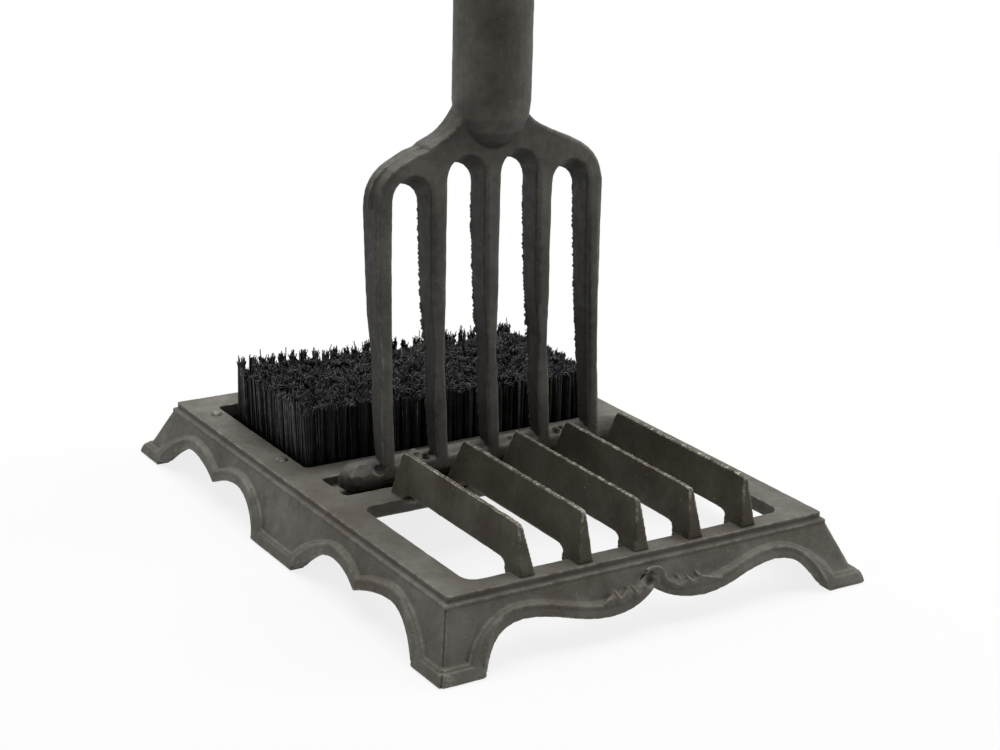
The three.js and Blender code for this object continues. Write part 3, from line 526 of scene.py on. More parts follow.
END_HALF = [(0, 20.6, None, (6, -4)), (30, 12.5, (-15, 0), (18, 0)), (80, 20.5, (-18, 0), (18, 0)),
            (108, 0, (-3.5, 8), None)]
SIDE_HALF = [(26, 0, None, (3.5, 8)), (60, 19.2, (-14, 0), (14, 0)), (88.5, 12.3, (-7, 3), (7, 3)),
             (124, 19.8, (-14, 0), (14, 0)), (159, 0, (-7, 8), None)]


def rods(name, lines, radius, sides=2):
    """Round rods along lines of points. A point's fourth number, if any, thins the rod there."""
    curve = bpy.data.curves.new(name, "CURVE")
    curve.dimensions = "3D"
    curve.bevel_depth = radius
    curve.bevel_resolution = sides
    curve.use_fill_caps = True
    for line in lines:
        spline = curve.splines.new("POLY")
        spline.points.add(len(line) - 1)
        for point, place in zip(spline.points, line):
            point.co = (*place[:3], 1)
            point.radius = place[3] if len(place) > 3 else 1.0
    return curve_mesh(curve)


def rim_lines():
    lines = []
    for side in range(4):
        half = END_HALF if side in (0, 2) else SIDE_HALF
        for mirror in (-1, 1):
            lines.append([on_side(side, mirror * point.x, point.y + RIM_RISE, BORDER_PROUD - RIM_SUNK)
                          for point in scallops(half)])
    return lines


def bead_lines():
    """The bead that lies on the ledge all round the plate."""
    x, y, z = (PLATE_HALF.x + BEAD_OUT) * MM, (PLATE_HALF.y + BEAD_OUT) * MM, BEAD_HEIGHT * MM
    corners = [(-x, -y, z), (x, -y, z), (x, y, z), (-x, y, z)]
    return [[start, end] for start, end in zip(corners, corners[1:] + corners[:1])]


print("The border has", len(rim_lines()), "rims, and the ledge has", len(bead_lines()), "beads")

# %% [markdown]
# ## Leaf scroll
#
# In the middle of the front and rear sides the border ends in a leaf. Two pointed lobes stand on each
# wave, a curl rolls over the point where the waves meet, and beside it the carver cut a pit, which
# looks black.
#
# Each lobe is two rods: a thick one for its body, and a thin one further out for its sharp rib. A point
# of a rod has a place along the side, a height over the point of the border, and a thickness.

# %% Leaf scroll
POINT_HEIGHT = 20.6
BORDER_WIDTH = 7.4
BODIES = [
    [(-34, -2.8, 1.4), (-29, -1.2, 2.2), (-26, 0.4, 2.2), (-25.2, 2.8, 1.2)],
    [(-25.6, -1.0, 2.0), (-23.4, -2.0, 2.0), (-18.4, -0.4, 2.4), (-15.8, 1.4, 2.2), (-15.0, 4.0, 1.2)],
    [(-15.2, -0.2, 2.0), (-12.6, -0.6, 2.0), (-9.8, 0.4, 1.7), (-8.2, 2.8, 0.9)],
    [(1.8, 1.8, 1.2), (2.3, 5.0, 1.9), (3.2, 7.4, 2.1), (5.2, 6.8, 2.3), (6.2, 4.0, 2.4),
     (7.2, 1.6, 2.2), (10.6, -0.6, 2.0), (15.4, -1.8, 1.6), (20, -2.6, 1.2)],
    [(15.5, -2.2, 1.6), (20.4, -0.6, 2.0), (24.4, -2.0, 1.6)],
    [(22, -2.2, 1.6), (27, -0.2, 2.0), (31, -1.2, 1.8), (38, -2.6, 1.2)],
]
RIBS = [
    [(-25.4, 4.2, 0.5), (-24.2, 1.8, 0.75), (-22.8, -0.6, 0.7), (-21.4, -2.6, 0.3)],
    [(-15.0, 5.5, 0.5), (-13.8, 3.3, 0.75), (-12.4, 1.0, 0.7), (-10.8, -0.8, 0.3)],
    [(-3.6, 9.2, 0.9), (-1.0, 9.6, 1.1), (2.0, 9.8, 1.0), (5.0, 9.3, 0.9), (7.0, 7.4, 0.8),
     (8.0, 5.2, 0.6)],
    [(0.4, 8.8, 0.5), (2.8, 7.4, 0.65), (4.0, 5.0, 0.4)],
    [(7.0, 4.8, 0.5), (8.8, 2.2, 0.8), (12, 0.4, 0.8), (15.8, -0.8, 0.4)],
    [(19.5, 4.3, 0.4), (20.4, 2.2, 0.8), (22.4, 0.4, 0.8), (25.2, -1.0, 0.4)],
    [(26.0, 4.6, 0.4), (27.0, 2.6, 0.8), (29.2, 1.0, 0.9), (32.4, 0.2, 0.9), (36.6, -0.7, 0.8),
     (41.6, -1.7, 0.5)],
]
BODY_PROUD = BORDER_PROUD - 0.7
RIB_PROUD = BORDER_PROUD + 1.0


def leaf_lines():
    lines = []
    for side in (0, 2):
        for strokes, proud in ((BODIES, BODY_PROUD), (RIBS, RIB_PROUD)):
            for stroke in strokes:
                lines.append([(*on_side(side, x, POINT_HEIGHT + rise, proud), thick)
                              for x, rise, thick in stroke])
    return lines


print("Each leaf is made of", len(BODIES), "bodies and", len(RIBS), "ribs")

# %% [markdown]
# ## Making room for the leaves
#
# The copy brings a coarse scroll along. Deleting it would tear the wall open, so the points that stand
# out are pressed back to the border or the wall, and the new leaves are laid over them.

# %% Pressing the coarse scroll flat
SCROLL_HALF = 45
SCROLL_PROUD = 8.0
WALL_SUNK = 0.3
LEAST_PRESS = 0.5


def standing_out(places, axis):
    """How far places stand out of the sloping faces across an axis, in millimetres."""
    slope = (SPLAY[axis] - BORDER_PROUD - FACE_STEP) / LEDGE
    face = PLATE_HALF[axis] + FACE_STEP + slope * (LEDGE - places[:, 2] / MM)
    return np.abs(places[:, axis]) / MM - face


def edge_height(half, along):
    """Height of the scalloped lower edge at places along a side, and its steepness there."""
    points = np.array([(point.x, point.y) for point in scallops(half)])
    steepness = np.gradient(points[:, 1], points[:, 0])
    along = np.abs(along)
    return (np.interp(along, points[:, 0], points[:, 1]),
            np.interp(along, points[:, 0], steepness, left=0.0, right=0.0))


def flatten_scroll(shape):
    """Presses the coarse scroll of a copy back into the border and the wall."""
    for vert in shape.verts:
        places = np.array([vert.co])
        if abs(vert.co.x) > SCROLL_HALF * MM or vert.co.z > (LEDGE - 0.1) * MM:
            continue
        height, _ = edge_height(END_HALF, places[:, 0] / MM)
        on_border = vert.co.z / MM < height[0] + BORDER_WIDTH + WALL_SUNK
        excess = standing_out(places, 1)[0] - (BORDER_PROUD if on_border else -WALL_SUNK)
        if 0 < excess < SCROLL_PROUD and (on_border or excess > LEAST_PRESS):
            vert.co.y -= math.copysign(excess * MM, vert.co.y)


# %% [markdown]
# ## Details that are carved into the base
#
# Six things are carved: the pits of the scrolls, the quarter round under the border, the rounding of
# the feet's corners and of their toes, the hollow round the plate under its top edge, and the mould's
# seam down each corner. They follow curves and slopes, so each is a rule that moves points.

# %% Carving the base
PITS = [(on_side(0, -3.2, POINT_HEIGHT + 4.2, 2.0), 3.8, 4.2, (0, 1, 0)),
        (on_side(2, -3.2, POINT_HEIGHT + 4.2, 2.0), 3.8, 4.2, (0, -1, 0))]
SEAM_WIDTH = 0.5
SEAM_DEPTH = 0.9
TURN = 2.3
FOOT_CORNER = 2.8
TOE_HEIGHT = 6.0
TOE_RADIUS = 5.0
CORNER_RADIUS = 1.0
FEET = ((1, 108.4, 1), (0, 26, -1), (0, 159, 1))
FOOT_DEPTH = 12
EDGE_PROFILE = ((33.0, 34.2, 35.4, 36.4), (0.0, -0.5, -0.4, 0.0))
EDGE_FOOT = 31.6


def turn_under(places):
    """Turns the lower edge of the border under in a quarter round."""
    for axis, half in ((1, END_HALF), (0, SIDE_HALF)):
        height, steepness = edge_height(half, places[:, 1 - axis] / MM)
        above = (places[:, 2] / MM - height) / np.sqrt(1 + steepness ** 2)
        inwards = TURN - np.sqrt(TURN ** 2 - (TURN - np.clip(above, 0, TURN)) ** 2)
        share = np.clip(standing_out(places, axis) / BORDER_PROUD, 0, 1)
        places[:, axis] -= np.sign(places[:, axis]) * inwards * share * MM


def round_foot_corners(places):
    """Rounds the lower corner of each foot: its side's axis, its end, and the way to its inside."""
    for axis, foot, into in FEET:
        along = (np.abs(places[:, 1 - axis]) / MM - foot) * into - FOOT_CORNER
        up = places[:, 2] / MM - FOOT_CORNER
        off = np.hypot(along, up)
        cut = (along < 0) & (along > -2 * FOOT_CORNER) & (up < 0) & (off > FOOT_CORNER)
        cut &= standing_out(places, axis) > -FOOT_DEPTH
        scale = np.where(cut, FOOT_CORNER / np.maximum(off, 1e-6), 1.0)
        sign = np.sign(places[:, 1 - axis])
        places[:, 1 - axis] = np.where(cut, sign * (foot + into * (along * scale + FOOT_CORNER)) * MM,
                                       places[:, 1 - axis])
        places[:, 2] = np.where(cut, (up * scale + FOOT_CORNER) * MM, places[:, 2])


def round_toes(places):
    """Rounds the outer corner of each foot, more and more towards the floor."""
    low = np.clip(1 - places[:, 2] / (TOE_HEIGHT * MM), 0, 1)
    radius = CORNER_RADIUS + (TOE_RADIUS - CORNER_RADIUS) * low
    out = [standing_out(places, axis) - BORDER_PROUD + radius for axis in (0, 1)]
    off = np.maximum(np.hypot(*out), 1e-6)
    toe = (out[0] > 0) & (out[1] > 0) & (off > radius) & (places[:, 2] < TOE_HEIGHT * MM)
    for axis in (0, 1):
        places[:, axis] -= np.sign(places[:, axis]) * toe * out[axis] * (1 - radius / off) * MM


def hollow_plate_edge(places):
    """Draws the plate's edge in a little between its top and the bead."""
    for axis in (0, 1):
        on_edge = np.abs(places[:, axis]) > (PLATE_HALF[axis] - 0.5) * MM
        on_edge &= places[:, 2] > EDGE_FOOT * MM
        cove = np.interp(places[:, 2] / MM, *EDGE_PROFILE)
        places[:, axis] += np.sign(places[:, axis]) * np.where(on_edge, cove, 0) * MM


def cut_corner_seams(places):
    """Cuts the seam of the mould down each of the four corners."""
    corner = np.array((PLATE_HALF[0] + FACE_STEP, PLATE_HALF[1] + FACE_STEP)) * MM
    outwards = np.array(SPLAY) - FACE_STEP - BORDER_PROUD
    outwards /= np.linalg.norm(outwards)
    out = np.abs(places[:, :2]) - corner
    off_seam = (out[:, 0] * outwards[1] - out[:, 1] * outwards[0]) / (SEAM_WIDTH * MM)
    on_face = (out.max(axis=1) > -0.2 * MM) & (places[:, 2] < LEDGE * MM)
    depth = SEAM_DEPTH * MM * np.exp(-off_seam ** 2) * on_face
    places[:, :2] -= np.sign(places[:, :2]) * outwards * depth[:, None]


def carve_base(places):
    """Presses in the pits, and lets each rule work over the skin in turn."""
    press_in(places, PITS)
    for rule in (turn_under, round_foot_corners, round_toes, hollow_plate_edge, cut_corner_seams):
        rule(places)
    return places


print("Carved into the base:", len(PITS), "pits,", 4 * len(FEET), "corners of feet, 4 toes, 4 seams")

# %% [markdown]
# ## Base casting
#
# One casting carries the plate with its openings, the trough, the sloping sides, the feet and the
# border. Its copy takes in the rods, and small balls for the rough metal beside the first blade. Voxels
# of 0.6 mm fuse them all, and round the corners to about a millimetre.

# %% Base casting
ROUGH_METAL = [(-72.5, -41.2, 35.6, 1.5), (-70.0, -42.0, 35.2, 1.8), (-67.4, -42.3, 34.8, 1.5),
               (-65.0, -42.2, 35.2, 1.2), (-62.8, -42.0, 35.6, 0.9)]

shape = node_copy("base_casting")
flatten_scroll(shape)
for x, y, z, radius in ROUGH_METAL:
    ball(shape, Vector((x, y, z)) * MM, radius * MM)
take_in(shape, rods("rim", rim_lines(), RIM_RADIUS * MM), rods("bead", bead_lines(), BEAD_RADIUS * MM),
        rods("leaves", leaf_lines(), MM))
base = piece_from(shape, "base_skin")
cast_skin(base, voxel=0.6 * MM, smoothing=3, triangles=195000, lumps=0.3 * MM, carve=carve_base)
base_low, base_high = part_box("base_casting")
keep_inside(base, base_low, base_high)
finish_piece(base, base_iron, "base_iron", "base_casting")

# %% [markdown]
# ## Scraper blades
#
# Each blade is a wedge, 2 mm thick at its top and 9 mm at its foot. Its top edge is scraped thin and
# nicked by grit, and near its rear end it carries a nub from the mould's vent. The foot of the skin is
# let down by half a millimetre and flared a little, so that no gap shows on the plate.

# %% Scraper blades
FLARE_HEIGHT = 2.5 * MM
FLARE = 0.5 * MM
PLATE_FOOT = base_high.z + 0.3 * MM
NICK = 0.5 * MM
NICKS = 70
NICK_REACH = 1.5 * MM
NUB_RADIUS = 1.6 * MM
NUB_BACK = 11.0 * MM
NUB_SINK = 1.3 * MM
CREST = 0.5 * MM
BLADES = 5
chance = random.Random(11)


def flare_foot(places):
    """Pulls the foot of a blade outwards into a fillet and down onto the plate."""
    side = np.sign(places[:, 0] - places[:, 0].mean())
    low = np.clip(1 - np.abs(places[:, 2] - PLATE_FOOT) / FLARE_HEIGHT, 0, 1)
    places[:, 0] += side * FLARE * low ** 2
    places[:, 2] -= 0.5 * MM * low
    return places


def nick_edge(places):
    """Takes small bites out of the top edge, a few millimetres apart."""
    near_top = np.clip((places[:, 2] - places[:, 2].max() + NICK_REACH) / NICK_REACH, 0, 1)
    bites = np.zeros(len(places))
    for _ in range(NICKS):
        at = chance.uniform(places[:, 1].min(), places[:, 1].max())
        width = chance.uniform(0.5, 1.6) * MM
        depth = chance.uniform(0.3, 1.0) * NICK
        bites = np.maximum(bites, depth * np.exp(-((places[:, 1] - at) / width) ** 2))
    places[:, 2] -= bites * near_top
    return places


for number in range(1, BLADES + 1):
    node = f"scraper_blade_{number}"
    low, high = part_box(node)
    shape = node_copy(node)
    crest = [vert.co.x for vert in shape.verts if vert.co.z > high.z - CREST]
    ball(shape, (sum(crest) / len(crest), high.y - NUB_BACK, high.z - NUB_SINK), NUB_RADIUS)
    blade = piece_from(shape, f"blade_skin_{number}")
    cast_skin(blade, voxel=0.5 * MM, smoothing=2, triangles=60000, lumps=0.35 * MM, carve=nick_edge)
    keep_inside(blade, low, high)
    move_points(blade, flare_foot)
    finish_piece(blade, blade_iron, "blade_iron", node)

# %% [markdown]
# ## Fin, joint and pits of the fork
#
# The fork's mould had two halves that met at its back. Metal ran into that joint, and shows as a ragged
# fin on the rear edges of the slots and a low line over the crown. The fin is small balls of uneven
# size, strung along each edge for the skin to fuse. Gas has left some holes in the foot bar.
#
# The slots have a draft, so that the pattern came out of the sand: their tops slope down towards the
# rear, and from the front each shows its underside, which looks dark and is darkened more by painted
# shade.

# %% Fin, joint and pits
TINES = 5
TINE_PITCH = 34.3
SHOULDER = 190.0
BAR_HEIGHT = 40.0
SLOT_HALF = 12.15
SLOT_FOOT_HALF = 13.45
REAR_TOP = 9.1
REAR_FOOT = -6.9
FIN_STEP = 2.3
FIN_FOOT = 52.0
FIN_RISE = 4
FIN_OFF = 0.15
FIN_SINK = 1.3
TINE_BEND = 1.6


def fin_places():
    """Places up the rear edges of the slots, in millimetres, from the foot to the shoulder."""
    places = []
    for slot in range(TINES - 1):
        middle = (slot - (TINES - 2) / 2) * TINE_PITCH
        for side in (-1, 1):
            height = FIN_FOOT
            while height < SHOULDER + FIN_RISE:
                up = min(1.0, (height - BAR_HEIGHT) / (SHOULDER - BAR_HEIGHT))
                half = SLOT_FOOT_HALF + (SLOT_HALF - SLOT_FOOT_HALF) * up
                rear = REAR_FOOT + (REAR_TOP - REAR_FOOT) * (1 - (1 - up) ** TINE_BEND)
                places.append((middle + side * (half + FIN_OFF), rear - FIN_SINK, height))
                height += FIN_STEP * chance.uniform(0.75, 1.25)
    return places


HOLLOWS = [
    (-43, -13, 47, 2.8, 2.6, 0.5, -0.9), (-38.5, -11, 48, 2.4, 2.4, 0.4, -0.9),
    (-47, -10, 48.5, 3.0, 1.8, 0.2, -1), (-35, -14, 46, 1.8, 1.6, 0.6, -0.8),
    (45, -12, 47.5, 2.8, 2.6, 0.5, -0.9), (50, -10, 48.5, 2.2, 2.0, 0.3, -1),
    (14, -11, 48, 2.4, 1.8, 0.3, -1), (-84, -14, 47, 4.0, 1.4, 0, -1), (-74, -15, 45, 3.4, 1.8, 1, -0.3)]
GAS_HOLES = [(Vector((x, y, z)) * MM, radius, depth, (0, forward, down))
             for x, y, z, radius, depth, forward, down in HOLLOWS]
SLOT_ARCS = [(-51.45, 193.05), (-17.15, 201.85), (17.15, 201.85), (51.45, 193.05)]
SLOPE_REACH = 8.5
SLOPE_FOOT = 14
FRONT_Y, REAR_Y = -8.9, 9.1
FRONT_LIFT, REAR_DROP = 3.4, 4.6
CROWN_HALF = [(73.6, 190, None, (0, 11.75)), (59.6, 213.5, (9.3, -4.7), (-11, 5.5)),
              (30, 226.5, (11, -5.5), (-8.25, 4.4)), (11.7, 249, (5.5, -8.8), None)]
RIGHT_LIFT = 2.2
LIFT_LENGTH = 20
JOINT_OUT = 1.0
JOINT_Y = 0.1
JOINT_RADIUS = 0.75


def joint_lines():
    """The two mould halves met in a line along the crown's upper edge, on the left and the right."""
    lines = []
    for side, lift in ((-1, 0.0), (1, RIGHT_LIFT)):
        line = []
        for point in scallops(CROWN_HALF):
            up = point.y + JOINT_OUT + lift * min(1, (point.y - SHOULDER) / LIFT_LENGTH)
            line.append(Vector((side * (point.x + JOINT_OUT), JOINT_Y, up)) * MM)
        lines.append(line)
    return lines


def carve_fork(places):
    """Presses in the gas holes, and lets the tops of the slots slope down towards the rear."""
    places = press_in(places, GAS_HOLES)
    deep = np.clip((places[:, 1] / MM - FRONT_Y) / (REAR_Y - FRONT_Y), 0, 1)
    share = np.zeros(len(places))
    for middle, height in SLOT_ARCS:
        across = places[:, 0] / MM - middle
        up = places[:, 2] / MM - height
        beyond = np.hypot(across, np.maximum(up, 0)) - SLOT_HALF
        near = np.clip(1 - beyond / SLOPE_REACH, 0, 1) * np.clip((up + SLOPE_FOOT) / SLOPE_FOOT, 0, 1)
        share = np.maximum(share, near)
    places[:, 2] += (FRONT_LIFT - (FRONT_LIFT + REAR_DROP) * deep) * share * MM
    return places


print("The fork has", len(SLOT_ARCS), "slots,", len(GAS_HOLES), "gas holes and", len(joint_lines()),
      "joint lines")

# %% [markdown]
# ## Fork casting
#
# Five tines, the crown, the socket and the foot bar are one casting. Larger balls make the lumpy ends
# of the foot bar. The voxels are a little coarser than the base's, because nothing here is as fine as
# the leaves.

# %% Fork casting
FIN_SIZES = (0.45, 1.05)
BAR_LUMPS = [(-88, -12, 41, 6), (-80, -4, 43, 5), (-70, -10, 45, 4.5), (-91, -6, 38, 5),
             (-60, -12, 44, 3.5), (-46, -3, 46, 3.2), (20, -11, 45, 3.4), (56, -5, 46, 3)]

fork_low, fork_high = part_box("fork_casting")
shape = node_copy("fork_casting")
for x, y, z in fin_places():
    ball(shape, Vector((x, y, z)) * MM, chance.uniform(*FIN_SIZES) * MM)
for x, y, z, radius in BAR_LUMPS:
    ball(shape, Vector((x, y, z)) * MM, radius * MM)
take_in(shape, rods("joint", joint_lines(), JOINT_RADIUS * MM))
fork = piece_from(shape, "fork_skin")
cast_skin(fork, voxel=0.75 * MM, smoothing=2, triangles=195000, lumps=0.5 * MM, carve=carve_fork)
keep_inside(fork, fork_low, fork_high)
finish_piece(fork, fork_iron, "fork_iron", "fork_casting")

# %% [markdown]
# ## Shape of the yoke
#
# The copy of the yoke has corners where its arms bend. So the arms are drawn afresh as a smooth closed
# outline with a bevelled edge, and the collar is a round section that changes its radius along a line.
# Heights are counted from the pin of the grip.

# %% Outline and collar of the yoke
GRIP_PIN_LOW, GRIP_PIN_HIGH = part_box("grip_pin")
PIN_HEIGHT = (GRIP_PIN_LOW.z + GRIP_PIN_HIGH.z) / 2
YOKE_Y = (GRIP_PIN_LOW.y + GRIP_PIN_HIGH.y) / 2
YOKE_DEPTH = 24
YOKE_EDGE = 3
YOKE_OUTLINE = [(15.3, -104, None, (0, 22)), (60, -44, (0, -33), (0, 5)), (60, 0, (0, -5), (0, 3)),
                (54.5, 5.5, (3, 0), (-3, 0)), (49, 0, (0, 3), (0, -5)), (49, -44, (0, 5), (0, -22)),
                (0, -74, (22, 0), None)]
COLLAR = [(-146, 20.6), (-144.8, 21.9), (-100, 21.9), (-94, 20.9), (-90.5, 19.2), (-87.5, 15.5),
          (-85.8, 9)]
COLLAR_SIDES = 14


def yoke_shape():
    """Flat arms drawn as one outline with a rounded edge, and a collar turned along a line."""
    half = scallops(YOKE_OUTLINE)
    curve = bpy.data.curves.new("arms", "CURVE")
    curve.dimensions = "2D"
    curve.fill_mode = "BOTH"
    curve.extrude = (YOKE_DEPTH / 2 - YOKE_EDGE) * MM
    curve.bevel_depth = YOKE_EDGE * MM
    curve.bevel_resolution = 3
    outline = curve.splines.new("POLY")
    corners = [(point.x, point.y) for point in half]
    corners += [(-x, y) for x, y in reversed(corners[:-1])]
    outline.points.add(len(corners) - 1)
    for point, (across, up) in zip(outline.points, corners):
        point.co = (across * MM, up * MM, 0, 1)
    outline.use_cyclic_u = True
    arms = curve_mesh(curve)
    line = [(0, YOKE_Y, PIN_HEIGHT + up * MM, radius) for up, radius in COLLAR]
    collar = rods("collar", [line], MM, COLLAR_SIDES)
    arms.transform(Matrix.Translation((0, YOKE_Y, PIN_HEIGHT)) @ Matrix.Rotation(math.pi / 2, 4, "X"))
    shape = bmesh.new()
    take_in(shape, arms, collar)
    bmesh.ops.remove_doubles(shape, verts=shape.verts, dist=1e-6)
    print("The yoke's outline has", len(corners), "corners")
    return shape


# %% [markdown]
# ## Shaft, yoke and grip
#
# These are above the photograph's edge. The yoke and the grip are castings like the fork, and the shaft
# is a drawn tube, so its skin gets hardly any lumps. One loop makes all three.

# %% Shaft, yoke and grip
for node, voxel, smoothing, lumps in (("grip_yoke", 1.0, 8, 0.4), ("grip_bar", 0.8, 3, 0.3),
                                      ("shaft_tube", 1.1, 3, 0.1)):
    low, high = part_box(node)
    piece = piece_from(yoke_shape() if node == "grip_yoke" else node_copy(node), node + "_skin")
    cast_skin(piece, voxel * MM, smoothing, triangles=110000, lumps=lumps * MM)
    keep_inside(piece, low, high)
    finish_piece(piece, fork_iron, "fork_iron", node)

# %% [markdown]
# ## Board, bolts, rivets and screws
#
# These parts are bought or sawn, with true edges, and mostly hidden. The frame's own shapes are already
# right, so they only get their finish.

# %% Board, bolts, rivets and screws
HARDWARE = ["fork_washer_left", "fork_washer_right", "fork_bolt_left", "fork_bolt_right",
            "socket_rivet", "yoke_rivet", "grip_pin", *(f"brush_screw_{n}" for n in range(1, 5))]
for node in ["brush_board"] + HARDWARE:
    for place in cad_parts[node].material_slots:
        place.material = zinc_steel if node in HARDWARE else black_board
print(len(HARDWARE), "small parts are of", zinc_steel.name, "and the board is of", black_board.name)

# %% [markdown]
# ## Packing strip of the brush board
#
# The board lies a few millimetres under the plate, because the bristles' backing is between them.
# Behind the brush a sawn wooden strip fills that gap, so that no light comes through.

# %% Packing strip
board_low, board_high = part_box("brush_board")
STRIP_WIDTH = 7.0 * MM
STRIP_HEIGHT = 4.4 * MM
STRIP_INSET = 2.0 * MM
STRIP_BACK = 0.3 * MM
STRIP_EDGE = 0.7 * MM
size = Vector((board_high.x - board_low.x - 2 * STRIP_INSET, STRIP_WIDTH, STRIP_HEIGHT))
middle = Vector((0, board_high.y - STRIP_WIDTH / 2 - STRIP_BACK, board_high.z + STRIP_HEIGHT / 2))
shape = bmesh.new()
bmesh.ops.create_cube(shape, size=1.0, matrix=Matrix.Translation(middle) @ Matrix.Diagonal((*size, 1)))
bmesh.ops.bevel(shape, geom=shape.edges[:], offset=STRIP_EDGE, segments=3, affect="EDGES")
strip = piece_from(shape, "packing_strip")
strip.data.materials.append(black_board)
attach(strip, "root")
print("Packing strip at height", round(middle.z / MM, 1), "mm with", triangle_count(strip), "triangles")

# %% [markdown]
# ## Tufts of the brush
#
# Each hole of a brush holds a tuft of strands, folded in half and stapled in. The strands spread, so
# the tufts touch at the top and leave dark lanes lower down. They were cut level, and scraping has worn
# them down towards the right. Those at the front and the rear lean inwards, and the rearmost row, which
# a boot hardly touches, stands up higher as separate clumps.
#
# A line of four points is enough for a strand: its last three millimetres are bent over by wear, each
# tuft in its own direction.

# %% Tufts of bristles
TUFTS_ACROSS = 28
TUFTS_DEEP = 15
STRANDS = 44
ROOT_HEIGHT = 27.5 * MM
TOP_HEIGHT = 67.0 * MM
RIGHT_WEAR = 2.8 * MM
ROOT_SPREAD = 0.2
TIP_SPREAD = 0.47
TUFT_LEAN = 0.45 * MM
OUTER_LEAN = Vector((0.6, -2.4, 0)) * MM
TUFT_UNEVEN = 0.9
STRAND_UNEVEN = 0.75 * MM
TIP_BEND = 0.9 * MM
TIP_SCATTER = 0.5 * MM
STRAY = 0.03
STRAY_RISE = (1, 3.5)
BENDS = (0.05, 0.93)
REAR_ROW_RISE = 2.3 * MM
REAR_ROW_UNEVEN = 1.0
REAR_STRAND_UNEVEN = 1.6 * MM
REAR_ROW_SPREAD = 0.34
REAR_ROW_LEAN = 0.9 * MM
REAR_ROW_BEND = 0.3
field_low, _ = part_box("bristle_slice_1")
_, field_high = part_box("bristle_slice_4")
field = field_high - field_low
pitch = Vector((field.x / TUFTS_ACROSS, field.y / TUFTS_DEEP, 0))


def scatter(size):
    """Random step across the brush."""
    return Vector((chance.gauss(0, size), chance.gauss(0, size), 0))


def tuft_lines(column, row):
    """Lines of the strands of one tuft, which spread out from its hole to the level cut."""
    across = (column + 0.5) / TUFTS_ACROSS * 2 - 1
    deep = (row + 0.5) / TUFTS_DEEP * 2 - 1
    hole = Vector((field_low.x + (column + 0.5) * pitch.x, field_low.y + (row + 0.5) * pitch.y,
                   ROOT_HEIGHT))
    lean = scatter(TUFT_LEAN) + Vector((across ** 7 * OUTER_LEAN.x, deep ** 3 * OUTER_LEAN.y, 0))
    bend = scatter(TIP_BEND)
    top = TOP_HEIGHT - RIGHT_WEAR * across + chance.gauss(0, TUFT_UNEVEN) * MM
    spread, uneven, stray = TIP_SPREAD, STRAND_UNEVEN, STRAY
    if row == TUFTS_DEEP - 1:
        bend *= REAR_ROW_BEND
        lean += scatter(REAR_ROW_LEAN)
        top += REAR_ROW_RISE + chance.gauss(0, REAR_ROW_UNEVEN) * MM
        spread, uneven, stray = REAR_ROW_SPREAD, REAR_STRAND_UNEVEN, 4 * STRAY
    lines = []
    for _ in range(STRANDS):
        angle = chance.uniform(0, 2 * math.pi)
        reach = math.sqrt(chance.random())
        out = Vector((math.cos(angle) * pitch.x, math.sin(angle) * pitch.y, 0)) * reach
        root = hole + out * ROOT_SPREAD
        tip = hole + lean + out * spread
        tip.z = top + chance.gauss(0, 1) * uneven
        if chance.random() < stray:
            tip.z += chance.uniform(*STRAY_RISE) * MM
        end = tip + bend + scatter(TIP_SCATTER)
        lines.append([root, *(root.lerp(tip, share) for share in BENDS), end])
    return lines


print("Holes of the brush are", *[round(step / MM, 2) for step in pitch.xy], "mm apart")

# %% [markdown]
# ## Sweeping the strands
#
# A section swept along each line gives it its thickness, which makes thousands of thin rods from very
# little. How near a point is to the cut end is kept as the attribute "tip", which turns the ends grey,
# partly as a painted highlight, and the roots darker as painted shade.

# %% Strands
STRAND_RADIUS = 0.3 * MM
TIP_SHARES = [0.0, 0.05, 0.86, 1.0]
SLICES = 4


def mark_tips(mesh, lines):
    """Stores 1 on the last ring of points of each strand, and less towards its root."""
    per_strand = len(mesh.vertices) // len(lines)
    shares = np.repeat(TIP_SHARES, per_strand // len(TIP_SHARES))
    tip = mesh.attributes.new("tip", "FLOAT", "POINT")
    tip.data.foreach_set("value", np.tile(shares, len(lines)).astype(np.float32))


for number in range(SLICES):
    per_slice = TUFTS_ACROSS // SLICES
    lines = []
    for column in range(number * per_slice, (number + 1) * per_slice):
        for row in range(TUFTS_DEEP):
            lines += tuft_lines(column, row)
    name = f"bristle_tufts_{number + 1}"
    strands = rods(name, lines, STRAND_RADIUS, 0)
    print(name, len(lines), "strands with", len(strands.vertices), "points")
    mark_tips(strands, lines)
    finish_piece(place_object(name, strands), nylon, "bristle", f"bristle_slice_{number + 1}")

# %% [markdown]
# ## Floor and backdrop
#
# The object stands on a plain pale floor without a horizon. The camera sees it as nearly white around
# the object, with only its shadow on it, and as all white further out.

# %% Floor
FLOOR_HALF = 6.0
WHITE_FROM_TO = (0.35, 1.2)
NEAR_WHITENESS = 0.82


def seen_directly(tree):
    """One for the rays by which the camera, a mirror or glass sees the background."""
    ray = add(tree, "LightPath")
    seen = calculate(tree, "MAXIMUM", ray.outputs["Is Camera Ray"], ray.outputs["Is Glossy Ray"])
    return calculate(tree, "MAXIMUM", seen, ray.outputs["Is Transmission Ray"])


def pale_floor():
    material, tree, shader, place = new_material("pale_floor_paint")
    feed(tree, shader, Base_Color=linear("#DEDEDC"), Roughness=0.9)
    distance = add(tree, "VectorMath", {"operation": "LENGTH"}, i0=place).outputs["Value"]
    whiteness = calculate(tree, "MULTIPLY", seen_directly(tree),
                          fit(tree, distance, *WHITE_FROM_TO, NEAR_WHITENESS, 1.0))
    white = add(tree, "Emission")
    mixed = add(tree, "MixShader", i0=whiteness, i1=shader.outputs[0], i2=white.outputs[0])
    feed(tree, tree.nodes["Material Output"], Surface=mixed.outputs[0])
    return material


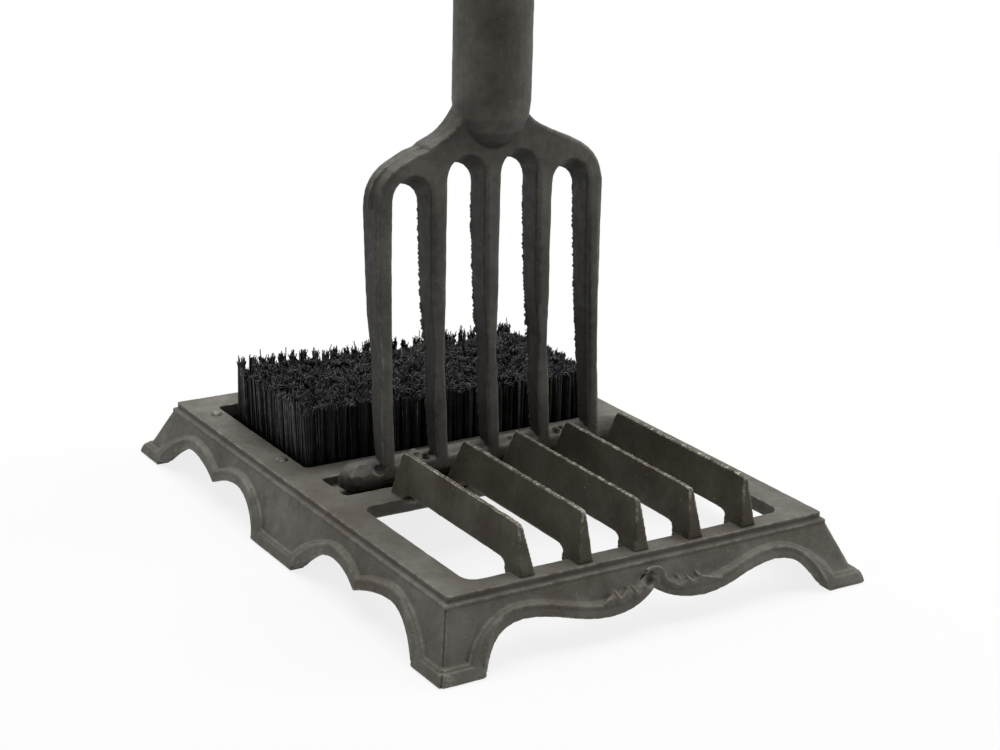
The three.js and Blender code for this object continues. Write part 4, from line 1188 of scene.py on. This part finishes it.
floor_shape = bmesh.new()
bmesh.ops.create_grid(floor_shape, x_segments=2, y_segments=2, size=FLOOR_HALF)
floor = piece_from(floor_shape, "floor")
floor.data.materials.append(pale_floor())
print("The floor is", 2 * FLOOR_HALF, "m wide")

# %% [markdown]
# ## Light
#
# In the photograph the plate's top is lighter than the faces towards the camera, and the round socket
# is lighter at both sides than in its middle. That is the light of a pale room behind and above the
# object. So a large soft panel hangs above and behind, a smaller one stands on the right, and the
# world's light fades towards the camera.

# %% Lamps and world
def panel(name, place, target, size, watts):
    """Square soft panel that looks from one point at another."""
    lamp = bpy.data.lights.new(name, "AREA")
    lamp.shape = "SQUARE"
    lamp.size = size
    lamp.energy = watts
    holder = place_object(name, lamp)
    holder.location = place
    holder.rotation_euler = (Vector(target) - Vector(place)).to_track_quat("-Z", "Y").to_euler()


panel("overhead_panel", (0.15, 0.45, 2.0), (0, 0, 0.1), 2.0, 50)
panel("right_panel", (2.2, -0.9, 1.1), (0, 0, 0.1), 1.0, 26)

world = bpy.data.worlds.new("studio")
bpy.context.scene.world = world
world.use_nodes = True
sky = world.node_tree
direction = add(sky, "SeparateXYZ", Vector=add(sky, "TexCoord").outputs["Generated"]).outputs["Y"]
from_behind = fit(sky, direction, -0.5, 0.5, 0.12, 0.5)
ray = add(sky, "LightPath")
mirrored = fit(sky, direction, -0.5, 0.3, 0.2, 1.0)
level = add(sky, "Mix", i0=ray.outputs["Is Glossy Ray"], i2=from_behind, i3=mirrored).outputs[0]
whole = calculate(sky, "MAXIMUM", ray.outputs["Is Camera Ray"], ray.outputs["Is Transmission Ray"])
feed(sky, sky.nodes["Background"], Color=(1, 1, 1, 1), Strength=calculate(sky, "MAXIMUM", level, whole))
print("Lamps:", *[lamp.name for lamp in bpy.data.lights])

# %% [markdown]
# ## Camera
#
# The photograph was taken from the front left, a little above, with a mild telephoto lens. The angles
# were solved from the plate's outline, and the roll is the photographer's own slight tilt.

# %% Camera
AZIMUTH = math.radians(-32.09)
ELEVATION = math.radians(18.22)
ROLL = math.radians(1.48)
CAMERA_PLACE = (-0.5991, -0.9756, 0.4622)

back = Vector((math.sin(AZIMUTH) * math.cos(ELEVATION), -math.cos(AZIMUTH) * math.cos(ELEVATION),
               math.sin(ELEVATION)))
level_right = Vector((0, 0, 1)).cross(back).normalized()
level_up = back.cross(level_right)
right = level_right * math.cos(ROLL) + level_up * math.sin(ROLL)
up = level_up * math.cos(ROLL) - level_right * math.sin(ROLL)
camera = place_object("camera", bpy.data.cameras.new("camera"))
camera.data.lens = 75.39
camera.data.sensor_width = 36
camera.matrix_world = Matrix.Translation(CAMERA_PLACE) @ Matrix((right, up, back)).transposed().to_4x4()
bpy.context.scene.camera = camera
bpy.context.scene.view_settings.view_transform = "Standard"
print("The camera is", round(Vector(CAMERA_PLACE).length, 2), "m from the middle of the base")
